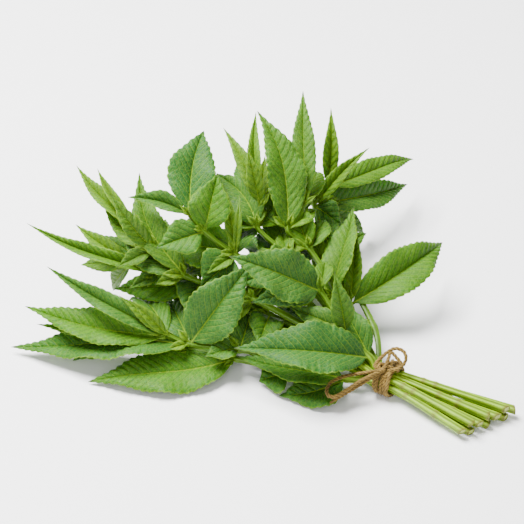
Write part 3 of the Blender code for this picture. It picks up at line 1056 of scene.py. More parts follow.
        turn = np.radians(self.twist * rng.uniform(-1, 1)) * (u - self.twist_middle)
        side_now = side * np.cos(turn)[..., None] + out * np.sin(turn)[..., None]
        out_now = out * np.cos(turn)[..., None] - side * np.sin(turn)[..., None]
        middle = self.middle_line(blade, u, rng)
        flat = middle[:, None] + level[..., None] * side_now + rise[..., None] * out_now
        lift = out_now * np.cos(slope)[..., None] - side_now * (np.sign(v) * np.sin(slope))[..., None]

        thick = self.rim_thickness + (self.thickness - self.rim_thickness) * (1 - size**4)
        thick = thick * (1 - self.tip_thinning * u**6)
        ridge = rib * np.exp(-((reach / (self.rib_spread * rib)) ** 2))
        above = 0.5 * thick - self.rib_above * ridge * smooth_step(share, 0.0, 0.08)
        below = 0.5 * thick + self.rib_below * ridge
        upper = flat + above[..., None] * lift
        lower = flat - below[..., None] * lift
        sections = np.concatenate((upper, lower[:, ::-1]), axis=1)

        young = np.clip((self.young_width - blade.width) / self.young_range, 0, 1)
        young = self.young_share * young + self.yellow_share * yellow
        young = np.clip(young + rng.uniform(-self.young_stray, self.young_stray), 0, 1)
        both = {
            "vein": vein,
            "across": np.broadcast_to(size, vein.shape),
            "along": np.broadcast_to(u, vein.shape),
            "rib": reach / rib,
        }
        values = {kind: np.concatenate((value, value[:, ::-1]), axis=1) for kind, value in both.items()}
        values["under"] = np.repeat((0.0, 1.0), v.size)[None]
        values["young"] = np.full((1, 1), young)
        values["tint"] = np.full((1, 1), rng.uniform())
        return lofted(sections, values)


@dataclass
class Shoot:
    """A tuft of small young leaves, at a growing tip or between a leaf and its stem; mm and degrees."""

    count: int
    length: float
    width: float
    spread: float
    arc: float = 360.0
    yellow: float = 0.3
    lowest: float = 4.5
    least_height: float = 0.0
    fold: float = 35.0
    arch: float = 0.1
    lie: float = 0.3
    # How much each leaf differs: shares of the spread, degrees round the stem, and shares of the size
    spread_range: Span = (0.6, 1.2)
    stray: float = 25.0
    size_range: Span = (0.7, 1.2)

    def blades(self, root: np.ndarray, ahead: np.ndarray, rng: np.random.Generator) -> list[Blade]:
        """The tuft's leaves, fanned about the direction ahead over the tuft's arc, from its underside.

        Args:
            root: Where the tuft grows.
            ahead: The stem's direction there.
            rng: Seeded random draws.

        Returns:
            The leaves.
        """
        first = unit(np.cross(ahead, UP))
        made = []
        for i in range(self.count):
            tilt = math.radians(self.spread * rng.uniform(*self.spread_range))
            place = self.arc * (i + 0.5) / self.count + rng.uniform(-self.stray, self.stray)
            around = turned(first, ahead, place)
            size = rng.uniform(*self.size_range)
            tip = root + (ahead * math.cos(tilt) + around * math.sin(tilt)) * self.length * size
            tip[2] = max(tip[2], self.lowest)
            made.append(Blade(root, tip, self.width * size, 0, self.fold, self.arch, bow=0, lie=self.lie))
        return made


TIP_SHOOT = Shoot(4, 9.0, 3.0, 24.0)
SIDE_SHOOT = Shoot(3, 9.5, 4.4, 40.0)
UNDER_SHOOT = Shoot(4, 17.0, 8.5, 62.0, arc=160.0, yellow=0.0, least_height=22.0)


@dataclass
class Twine:
    """Jute twine of three plies: its turns round the stems, its knot, its bow and its loose fibres; mm."""

    radius: float = 0.76
    turns: int = 5
    pitch: float = 1.5714
    turn_rows: int = 90
    half_width: float = 7.0
    half_height: float = 6.2
    swell: float = 0.012
    # How far the turns stray along the bundle, how often a turn, and from which angle
    strays: tuple[tuple[float, float, float], ...] = ((0.22, 1.7, 0.6), (0.16, 0.63, 0.0))
    # Each strand over the turns: its tilt, and the angles in degrees at which it starts and ends
    crossings: tuple[tuple[float, float, float], ...] = ((2.6, -25, 205), (-2.9, -50, 170))
    crossing_rows: int = 120
    crossing_lift: float = 1.35
    crossing_lead: float = 0.4
    sides: int = 24
    step: float = 0.42
    plies: int = 3
    ply_offset: float = 0.4
    ply_radius: float = 0.41
    lay_length: float = 5.4
    uneven: float = 0.05
    uneven_length: float = 1.9
    ripple: float = 0.04
    ripple_length: float = 0.83
    fray: float = 0.35
    fray_length: float = 2.5
    knot_seen: Seen = (385, 370, 14.0)
    knot_size: float = 1.15
    knot_depth: Span = (0.85, 0.75)
    knot_rows: int = 220
    fibres: int = 900
    # Where the fibres start, as a share of the twine's radius, and how far they lean across it
    fibre_root: float = 0.75
    fibre_lean: float = 0.5
    fibre_radius: float = 0.035
    fibre_rows: int = 7
    fibre_length: Span = (1.2, 4.2)
    fibre_lift: Span = (0.2, 0.75)
    fibre_bend: float = 0.35
    bow_steps: int = 10
    bows: tuple[tuple[Seen, ...], ...] = (
        # Long loop, down to the table in front of the leaves
        (
            (385, 370, 14.8), (373, 371.5, 15), (363, 373, 14.5), (353, 374.5, 13.5),
            (341, 377.5, 11.5), (331, 382.5, 11), (327, 389, 10.5), (328, 395, 9.8), (334, 397, 9.5),
            (342, 393, 10), (351, 387, 11), (360, 381, 12.5), (370, 376, 14), (381, 371, 14.8),
        ),
        # Round loop, standing up behind the knot
        (
            (382, 370, 14.6), (375, 367, 15), (378, 361, 16.5), (384, 355, 19), (390, 350.5, 21),
            (396, 348.5, 22), (403, 351, 21.5), (406, 357, 20), (404, 364, 17.5), (397, 369, 15.5),
            (388, 370.5, 14.6),
        ),
        # Strand inside the round loop
        ((385, 368, 15.5), (388, 360, 18), (391, 352.5, 20.8), (397, 358, 19), (402, 364.5, 17)),
        # Free end, under the long loop
        (
            (383, 371, 14.4), (371, 378, 12.5), (358, 386, 10), (346, 393, 8), (336, 399, 7),
            (330, 403, 6),
        ),
    )

    def winding(self) -> np.ndarray:
        """The turns round the stems as one line: an ellipse that moves along the bundle as it goes round.

        Returns:
            The line's points.
        """
        turn = np.linspace(0.0, self.turns, self.turns * self.turn_rows)
        angle = math.pi / 2 + 2 * math.pi * turn
        moved = (turn - self.turns / 2) * self.pitch
        for far, often, begin in self.strays:
            moved = moved + far * np.sin(often * angle + begin)
        swell = 1 + self.swell * np.sin(2.3 * angle)
        wide = np.outer(self.half_width * np.cos(angle) * swell, BUNDLE.across)
        high = np.outer(BUNDLE.height + self.half_height * np.sin(angle) * swell, UP)
        return wide + high + np.outer(moved, BUNDLE.axis)

    def crossing(self, tilt: float, start: float, end: float) -> np.ndarray:
        """A strand laid over the turns and tilted across them.

        Args:
            tilt: How far along the bundle it lies from the middle on either side, mm.
            start: The angle round the bundle at which it starts, in degrees.
            end: The angle at which it ends.

        Returns:
            Its middle line.
        """
        angle = np.radians(np.linspace(start, end, self.crossing_rows))
        lifted = self.crossing_lift * np.sin(np.linspace(0.0, math.pi, self.crossing_rows)) ** 0.5
        wide = np.outer((self.half_width + lifted) * np.cos(angle), BUNDLE.across)
        high = np.outer(BUNDLE.height + (self.half_height + lifted) * np.sin(angle), UP)
        return wide + high + np.outer(tilt * np.cos(angle + self.crossing_lead), BUNDLE.axis)

    def knot(self) -> np.ndarray:
        """A trefoil pulled tight: x = sin t + 2 sin 2t, y = cos t - 2 cos 2t, z = -sin 3t.

        Returns:
            The knot's middle line, facing the view.
        """
        t = np.linspace(0.0, 2 * math.pi, self.knot_rows)
        centre = VIEW.spot(self.knot_seen)
        out = unit(VIEW.eye - centre)
        across = unit(BUNDLE.axis - out * (BUNDLE.axis @ out))
        other = np.cross(out, across)
        high, deep = self.knot_depth
        x = (np.sin(t) + 2 * np.sin(2 * t)) * self.knot_size
        y = (np.cos(t) - 2 * np.cos(2 * t)) * self.knot_size * high
        z = -np.sin(3 * t) * self.knot_size * deep
        return centre + np.outer(x, across) + np.outer(y, other) + np.outer(z, out)

    def bow(self) -> list[np.ndarray]:
        """The middle lines of both loops, the strand inside one of them and the free end.

        Returns:
            The lines.
        """
        lines = []
        for route in self.bows:
            steps = [self.bow_steps] * (len(route) - 1)
            lines.append(smooth_route([VIEW.spot(seen) for seen in route], steps))
        return lines

    def strand(self, line: np.ndarray, rng: np.random.Generator, frayed: bool = False) -> Surface:
        """Three plies laid round each other: the outline of three touching circles, turned along the line.

        Reach = d cos a + square root of (r^2 - d^2 sin^2 a), with a the angle from the nearest ply's middle,
        d the ply's offset and r its radius.

        Args:
            line: The strand's middle line.
            rng: Seeded random draws.
            frayed: Whether the strand's last stretch gets thin, as a cut end does.

        Returns:
            The strand's closed surface, no lower than the flat underside of the tie.
        """
        line = even_route(line, self.step)
        travelled = distance_along(line)[:, None]
        angle = np.broadcast_to(2 * math.pi * np.arange(self.sides) / self.sides, (len(line), self.sides))
        lay = 2 * math.pi * travelled / self.lay_length + rng.uniform(0, 6)
        wedge = 2 * math.pi / self.plies
        off = (angle - lay) % wedge - wedge / 2
        reach = self.ply_offset * np.cos(off)
        reach = reach + np.sqrt(self.ply_radius**2 - (self.ply_offset * np.sin(off)) ** 2)
        reach = reach * (1 + self.uneven * np.sin(travelled / self.uneven_length + rng.uniform(0, 6)))
        reach = reach * (1 + self.ripple * np.sin(travelled / self.ripple_length + self.plies * angle))
        if frayed:
            reach = reach * (1 - self.fray * smooth_step(travelled - travelled[-1], -self.fray_length, 0.0))
        sections = rings(line, reach, angle)
        sections[..., 2] = np.maximum(sections[..., 2], TIE_FLAT)
        values = {
            "along": travelled,
            "around": (angle - lay) / (2 * math.pi),
            "groove": np.abs(off) / (wedge / 2),
        }
        return lofted(sections, values)

    def loose_fibres(self, lines: list[np.ndarray], rng: np.random.Generator) -> Surface:
        """Fine fibres that stand off the twine: each leaves along it and lifts off as the square of its way.

        Args:
            lines: The middle lines that the fibres grow on.
            rng: Seeded random draws.

        Returns:
            All the fibres as slim three-sided tubes.
        """
        routes = [even_route(line, self.step) for line in lines]
        route = np.concatenate(routes)
        tangents = np.concatenate([frames_along(line)[0] for line in routes])
        single, triple = (self.fibres, 1, 1), (self.fibres, 3)
        at = rng.integers(0, len(route), self.fibres)
        way = rng.normal(size=triple)
        away = units(way - tangents[at] * np.sum(way * tangents[at], axis=1, keepdims=True))
        turn = units(rng.normal(size=triple))
        heading = tangents[at] * rng.choice((-1.0, 1.0), (self.fibres, 1)) + self.fibre_lean * turn
        t = np.linspace(0.0, 1.0, self.fibre_rows)[None, :, None]
        length = rng.uniform(*self.fibre_length, single)
        lift = rng.uniform(*self.fibre_lift, single)
        bend = self.fibre_bend * np.sin(3.0 * t + rng.uniform(0, 6, single))
        root = route[at] + self.fibre_root * self.radius * away
        middle = root[:, None] + heading[:, None] * length * t + away[:, None] * length * lift * t**2
        middle = middle + turn[:, None] * length * bend * t * 0.5
        thin = self.fibre_radius * (1.15 - t)
        other = np.cross(tangents[at], away)[:, None]
        corners = [
            middle + thin * (away[:, None] * math.cos(a) + other * math.sin(a))
            for a in (0.0, 2 * math.pi / 3, 4 * math.pi / 3)
        ]
        sections = np.stack([*corners, corners[2] - 0.2 * thin * away[:, None]], axis=2)
        sections[..., 2] = np.maximum(sections[..., 2], TIE_FLAT)
        along = 7.0 * length[..., 0] + t[..., 0]
        parts = []
        for fibre, travelled in zip(sections, along):
            values = {"along": travelled[:, None], "around": np.zeros((1, 1)), "groove": np.zeros((1, 1))}
            parts.append(lofted(fibre, values))
        return Surface.joined(parts)


class Shading:
    """Short calls for the nodes of one material or node group."""

    def __init__(self, tree: bpy.types.NodeTree) -> None:
        """Keeps the node tree to work on."""
        self.tree = tree

    def node(self, kind: str, inputs: dict | None = None, **settings) -> bpy.types.Node:
        """Adds a node.

        Args:
            kind: The node's type.
            inputs: What its sockets get, by name or number: another socket, a number or a colour.
            settings: Its properties.

        Returns:
            The node.
        """
        made = self.tree.nodes.new(kind)
        for name, value in settings.items():
            setattr(made, name, value)
        self.dress(made, inputs or {})
        return made

    def dress(self, node: bpy.types.Node, inputs: dict) -> None:
        """Gives sockets of a node what belongs in them, by name or number."""
        for name, value in inputs.items():
            self.feed(node.inputs[name], value)

    def feed(self, socket: bpy.types.NodeSocket, value: Fed) -> None:
        """Links a socket to another, or sets its own value.

        Args:
            socket: The socket.
            value: Another socket, a number, a colour or a vector.
        """
        if isinstance(value, bpy.types.NodeSocket):
            self.tree.links.new(value, socket)
        elif isinstance(value, tuple) and len(value) == 3 and socket.type == "RGBA":
            socket.default_value = (*value, 1.0)
        else:
            socket.default_value = value

    def kept(self, name: str) -> bpy.types.NodeSocket:
        """The value of that name kept at the surface's points."""
        return self.node("ShaderNodeAttribute", attribute_name=name).outputs["Fac"]

    def math(self, operation: str, first: Fed, second: Fed) -> bpy.types.NodeSocket:
        """One sum of two values."""
        return self.node("ShaderNodeMath", {0: first, 1: second}, operation=operation).outputs[0]

    def times(self, first: Fed, second: Fed) -> bpy.types.NodeSocket:
        """One value times another."""
        return self.math("MULTIPLY", first, second)

    def plus(self, first: Fed, second: Fed) -> bpy.types.NodeSocket:
        """One value and another."""
        return self.math("ADD", first, second)

    def ramp(
        self, value: Fed, low: float, high: float, start: float = 0.0, end: float = 1.0
    ) -> bpy.types.NodeSocket:
        """A value that goes softly from start, at low, to end, at high."""
        wanted = {"Value": value, "From Min": low, "From Max": high, "To Min": start, "To Max": end}
        return self.node("ShaderNodeMapRange", wanted, interpolation_type="SMOOTHSTEP").outputs["Result"]

    def blend(self, share: Fed, first: Fed, second: Fed, way: str = "MIX") -> bpy.types.NodeSocket:
        """Two colours mixed."""
        wanted = {0: share, 6: first, 7: second}
        return self.node("ShaderNodeMix", wanted, data_type="RGBA", blend_type=way).outputs[2]

    def fade(self, value: Fed, edge: Span) -> bpy.types.NodeSocket:
        """1 before the edge, 0 after it, and softly between."""
        return self.ramp(value, *edge, 1.0, 0.0)

    def layered(self, colour: Fed, layers: tuple[tuple[Fed, Fed], ...]) -> bpy.types.NodeSocket:
        """A colour with others laid over it in turn.

        Args:
            colour: The lowest colour.
            layers: The mask and the colour of each layer.

        Returns:
            The colour on top.
        """
        for mask, laid in layers:
            colour = self.blend(mask, colour, laid)
        return colour

    def vector(self, x: Fed, y: Fed, z: Fed = 0.0) -> bpy.types.NodeSocket:
        """A vector out of three values."""
        return self.node("ShaderNodeCombineXYZ", {0: x, 1: y, 2: z}).outputs[0]

    def stretched(self, along: Fed, around: Fed, fineness: Span, other: Fed = 0.0) -> bpy.types.NodeSocket:
        """A place for streaks that run along a piece.

        Args:
            along: How far along the piece.
            around: How far round it.
            fineness: How fine the streaks are along and around.
            other: What tells pieces apart.

        Returns:
            The place as a vector.
        """
        return self.vector(self.times(along, fineness[0]), self.times(around, fineness[1]), other)

    def noise(self, place: Fed, scale: Fed, detail: float = 2.0) -> bpy.types.NodeSocket:
        """Cloudy noise at a place."""
        wanted = {"Vector": place, "Scale": scale, "Detail": detail}
        return self.node("ShaderNodeTexNoise", wanted).outputs["Fac"]

    def here(self) -> bpy.types.NodeSocket:
        """The place on the piece, in metres."""
        return self.node("ShaderNodeTexCoord").outputs["Object"]

    def bump(self, height: Fed, strength: float, distance: float) -> bpy.types.NodeSocket:
        """The normal of a surface with that relief on it."""
        wanted = {"Height": height, "Strength": strength, "Distance": distance}
        return self.node("ShaderNodeBump", wanted).outputs["Normal"]


def mottling() -> bpy.types.NodeTree:
    """The node group for living or spun stuff: a colour made patchy at two scales, and its grain's height.

    Returns:
        The group, built at its first use.
    """
    name = "Mottling"
    if name in bpy.data.node_groups:
        return bpy.data.node_groups[name]
    group = bpy.data.node_groups.new(name, "ShaderNodeTree")
    face = group.interface
    face.new_socket("Colour", in_out="INPUT", socket_type="NodeSocketColor")
    for label, value in (("Patch Scale", 60.0), ("Grain Scale", 900.0), ("Contrast", 0.3)):
        face.new_socket(label, in_out="INPUT", socket_type="NodeSocketFloat").default_value = value
    face.new_socket("Colour", in_out="OUTPUT", socket_type="NodeSocketColor")
    face.new_socket("Height", in_out="OUTPUT", socket_type="NodeSocketFloat")
    shading = Shading(group)
    given = shading.node("NodeGroupInput")
    place = shading.here()
    patch = shading.noise(place, given.outputs["Patch Scale"])
    grain = shading.noise(place, given.outputs["Grain Scale"])
    # The two noises come to about 0.75 together, so this is a swing about nothing
    swing = shading.math("SUBTRACT", shading.plus(patch, shading.times(grain, 0.5)), 0.75)
    level = shading.plus(shading.times(shading.times(swing, given.outputs["Contrast"]), 2.0), 1.0)
    tone = shading.vector(level, level, level)
    coloured = shading.blend(1.0, given.outputs["Colour"], tone, "MULTIPLY")
    shading.node("NodeGroupOutput", {"Colour": coloured, "Height": grain})
    return group


@dataclass(frozen=True)
class Finish:
    """What every finish has: a name, how it shines and lets light in, and its patches, grain and relief."""

    name: str
    roughness: float
    # How much smoother and rougher it gets in places
    rough_swing: Span = (0.0, 0.0)
    specular: float = 0.5
    # Scale of the patches, scale of the grain, and contrast of both
    mottle: tuple[float, float, float] = (60.0, 900.0, 0.3)
    # Strength and depth in metres of the relief
    relief: Span = (0.5, 0.0001)
    # How much light gets in, and how far it gets: red, green and blue, and the scale of all three in metres
    glow: float = 0.0
    glow_reach: Colour = (1.0, 1.0, 1.0)
    glow_scale: float = 0.001

    def begin(self) -> tuple[bpy.types.Material, Shading, bpy.types.Node]:
        """A new material, its node calls and its shader."""
        made = bpy.data.materials.new(self.name)
        made.use_nodes = True
        return made, Shading(made.node_tree), made.node_tree.nodes["Principled BSDF"]

    def mottled(self, shading: Shading, colour: Fed) -> tuple[bpy.types.NodeSocket, bpy.types.NodeSocket]:
        """The mottling group placed in this material with its own values.

        Args:
            shading: The material's node calls.
            colour: The colour to make patchy.

        Returns:
            The patchy colour, and the grain's height.
        """
        patch, grain, contrast = self.mottle
        wanted = {"Colour": colour, "Patch Scale": patch, "Grain Scale": grain, "Contrast": contrast}
        made = shading.node("ShaderNodeGroup", node_tree=mottling())
        shading.dress(made, wanted)
        return made.outputs["Colour"], made.outputs["Height"]

    def finish(self, shading: Shading, shader: bpy.types.Node, colour: Fed, wear: Fed, height: Fed) -> None:
        """Gives the shader its colour, roughness and relief, and what is the same all over.

        Args:
            shading: The material's node calls.
            shader: Its shader.
            colour: The finished colour.
            wear: The noise that the roughness swings with.
            height: The height of the relief.
        """
        smoother, rougher = self.rough_swing
        wanted = {
            "Base Color": colour,
            "Roughness": shading.ramp(wear, *NOISE_SPAN, self.roughness + smoother, self.roughness + rougher),
            "Normal": shading.bump(height, *self.relief),
            "Specular IOR Level": self.specular,
            "Subsurface Weight": self.glow,
            "Subsurface Radius": self.glow_reach,
            "Subsurface Scale": self.glow_scale,
        }
        shading.dress(shader, wanted)


@dataclass(frozen=True)
class LeafFinish(Finish):
    """Mint leaf: mid green, yellower when young, with pale veins, painted shade along its sunken veins, a lit
    rim and a paler underside.
    """

    name: str = "mint_leaf"
    roughness: float = 0.48
    rough_swing: Span = (-0.05, 0.1)
    specular: float = 0.12
    mottle: tuple[float, float, float] = (70.0, 700.0, 0.34)
    relief: Span = (0.75, 0.00022)
    glow: float = 0.1
    glow_reach: Colour = (0.5, 1.0, 0.15)
    glow_scale: float = 0.0012
    deep: Colour = (0.013, 0.074, 0.017)
    bright: Colour = (0.041, 0.132, 0.002)
    young: Colour = (0.090, 0.170, 0.001)
    pale: Colour = (0.190, 0.310, 0.014)
    under: Colour = (0.056, 0.132, 0.004)
    dark_tip: Colour = (0.030, 0.034, 0.016)
    # How strongly each mark covers the green
    under_share: float = 0.7
    # Painted shade: how strongly the deep green covers the sunken valleys along the side veins
    valley_shade_share: float = 0.55
    net_share: float = 0.16
    vein_share: float = 0.42
    midrib_share: float = 0.85
    rim_share: float = 0.45
    tip_share: float = 0.85
    # Where each mark fades in or out: in vein pitches, in rib radii, or in shares of the leaf
    vein_edge: Span = (0.015, 0.085)
    vein_end: Span = (0.55, 1.0)
    valley_shade_edge: Span = (0.03, 0.36)
    midrib_edge: Span = (0.45, 1.05)
    rim_edge: Span = (0.94, 1.0)
    tip_edge: Span = (0.93, 1.0)
    net_scale: float = 620.0
    net_edge: Span = (0.02, 0.16)
    # How deep the net and the veins lie, and how high the grain stands
    net_depth: float = 0.5
    vein_depth: float = 0.9
    grain_height: float = 0.35

    def material(self) -> bpy.types.Material:
        """The leaf's material, drawn from the values kept at its points.

        Returns:
            The material.
        """
        made, shading, shader = self.begin()
        across, along, tint = shading.kept("across"), shading.kept("along"), shading.kept("tint")
        gap = shading.math("PINGPONG", shading.kept("vein"), 0.5)
        vein = shading.times(shading.fade(gap, self.vein_edge), shading.fade(across, self.vein_end))
        # Painted shade: a broad band along each side vein, where the quilting sinks
        valley_shade = shading.fade(gap, self.valley_shade_edge)
        midrib = shading.fade(shading.kept("rib"), self.midrib_edge)
        wanted = {"Vector": shading.here(), "Scale": self.net_scale}
        cells = shading.node("ShaderNodeTexVoronoi", wanted, feature="DISTANCE_TO_EDGE")
        net = shading.fade(cells.outputs["Distance"], self.net_edge)

        greens = (
            (tint, self.bright),
            (shading.kept("young"), self.young),
            (shading.times(shading.kept("under"), self.under_share), self.under),
        )
        colour, grain = self.mottled(shading, shading.layered(self.deep, greens))
        marks = (
            # Painted shade in the sunken valleys along the side veins, in the deep green
            (shading.times(valley_shade, self.valley_shade_share), self.deep),
            (shading.times(net, self.net_share), self.pale),
            (shading.times(vein, self.vein_share), self.pale),
            (shading.times(midrib, self.midrib_share), self.pale),
            (shading.ramp(across, *self.rim_edge, 0.0, self.rim_share), self.pale),
            (shading.ramp(along, *self.tip_edge, 0.0, self.tip_share), self.dark_tip),
        )
        colour = shading.layered(colour, marks)
        sunk = shading.plus(shading.times(net, -self.net_depth), shading.times(vein, -self.vein_depth))
        height = shading.plus(sunk, shading.times(grain, self.grain_height))
        self.finish(shading, shader, colour, grain, height)
        return made


@dataclass(frozen=True)
class StemFinish(Finish):
    """Mint stem: pale yellow-green where bare, greener among the leaves, streaked, with painted shade along
    the grooves of its flat sides, and browned at the cut.
    """

    name: str = "mint_stem"
    roughness: float = 0.42
    rough_swing: Span = (-0.06, 0.12)
    specular: float = 0.2
    mottle: tuple[float, float, float] = (120.0, 900.0, 0.3)
    relief: Span = (0.5, 0.00012)
    glow: float = 0.2
    glow_reach: Colour = (0.8, 1.0, 0.3)
    glow_scale: float = 0.001
    bare: Colour = (0.205, 0.350, 0.008)
    leafy: Colour = (0.068, 0.160, 0.004)
    # Painted shade along the stem's grooves, and also the real darker tone of its streaks
    groove: Colour = (0.045, 0.085, 0.002)
    browned: Colour = (0.105, 0.080, 0.020)
    pith: Colour = (0.300, 0.360, 0.090)
    # Streaks: how fine along and around, where they fade in, and how strong
    streak_fineness: Span = (0.06, 9.0)
    streak_scale: float = 3.0
    streak_edge: Span = (0.52, 0.75)
    streak_share: float = 0.5
    groove_shade_edge: Span = (0.3, 1.0)
    groove_shade_share: float = 0.8
    worn_edge: Span = (0.35, 0.6)
    worn_shares: Span = (0.2, 0.85)
    browned_share: float = 0.75
    pith_edge: Span = (0.1, 0.7)
    grain_height: float = 0.4

    def material(self) -> bpy.types.Material:
        """The stem's material, drawn from the values kept at its points.

        Returns:
            The material.
        """
        made, shading, shader = self.begin()
        along, cut = shading.kept("along"), shading.kept("cut")
        place = shading.stretched(along, shading.kept("around"), self.streak_fineness, shading.kept("tint"))
        streak = shading.noise(place, self.streak_scale, 4.0)
        greens = (
            (shading.kept("leafy"), self.leafy),
            # Painted shade in the grooves along the flat sides; the streaks below take the same colour as
            # their real darker tone
            (shading.ramp(shading.kept("groove"), *self.groove_shade_edge, 0.0, self.groove_shade_share), self.groove),
            (shading.ramp(streak, *self.streak_edge, 0.0, self.streak_share), self.groove),
        )
        colour, grain = self.mottled(shading, shading.layered(self.bare, greens))
        worn = shading.ramp(streak, *self.worn_edge, *self.worn_shares)
        # Only the cut end's own rings lie at the very start of the stem
        face = shading.math("LESS_THAN", along, 0.01)
        marks = (
            (shading.times(shading.kept("scar"), worn), self.browned),
            (shading.times(cut, self.browned_share), self.browned),
            (shading.times(face, shading.fade(cut, self.pith_edge)), self.pith),
        )
        colour = shading.layered(colour, marks)
        height = shading.plus(streak, shading.times(grain, self.grain_height))
        self.finish(shading, shader, colour, streak, height)
        return made


@dataclass(frozen=True)
class TwineFinish(Finish):
    """Jute twine: tan, streaked along its fibres, with painted shade between its plies."""

    name: str = "jute_twine"
    roughness: float = 0.88
    rough_swing: Span = (-0.1, 0.0)
    specular: float = 0.25
    mottle: tuple[float, float, float] = (200.0, 1400.0, 0.6)
    relief: Span = (0.9, 0.00025)
    sheen: float = 0.04
    light: Colour = (0.330, 0.215, 0.045)
    mid: Colour = (0.095, 0.052, 0.008)
    # Painted shade in the hollows between the plies
    ply_shade: Colour = (0.014, 0.006, 0.001)
    # Fibres: how fine along and around, and where they get light
    fibre_fineness: Span = (0.35, 16.0)
    fibre_scale: float = 2.2
    fibre_edge: Span = (0.38, 0.66)
    groove_shade_edge: Span = (0.5, 0.95)
    groove_shade_share: float = 0.9
    grain_height: float = 0.4

    def material(self) -> bpy.types.Material:
        """The twine's material, drawn from the values kept at its points.

        Returns:
            The material.
        """
        made, shading, shader = self.begin()
        place = shading.stretched(shading.kept("along"), shading.kept("around"), self.fibre_fineness)
        fibre = shading.noise(place, self.fibre_scale, 5.0)
        tans = (
            (shading.ramp(fibre, *self.fibre_edge), self.light),
            # Painted shade in the hollows between the plies
            (shading.ramp(shading.kept("groove"), *self.groove_shade_edge, 0.0, self.groove_shade_share), self.ply_shade),
        )
        colour, grain = self.mottled(shading, shading.layered(self.mid, tans))
        height = shading.plus(fibre, shading.times(grain, self.grain_height))
        self.finish(shading, shader, colour, fibre, height)
        shading.dress(shader, {"Sheen Weight": self.sheen})
        return made


@dataclass(frozen=True)
class TableFinish(Finish):
    """The white surface that the bunch lies on."""

    name: str = "white_table"
    roughness: float = 0.6
    mottle: tuple[float, float, float] = (3.0, 40.0, 0.01)
    white: Colour = (0.93, 0.93, 0.93)

    def material(self) -> bpy.types.Material:
        """A plain white with a hardly visible unevenness.

        Returns:
            The material.
        """
        made, shading, shader = self.begin()
        colour, _ = self.mottled(shading, self.white)
        shading.dress(shader, {"Base Color": colour, "Roughness": self.roughness})
        return made


def shown(name: str, data: bpy.types.ID) -> bpy.types.Object:
    """A new object in the scene.

    Args:
        name: Its name.
        data: Its mesh, lamp or camera.

    Returns:
        The object.
    """
    made = bpy.data.objects.new(name, data)
    bpy.context.scene.collection.objects.link(made)
    return made


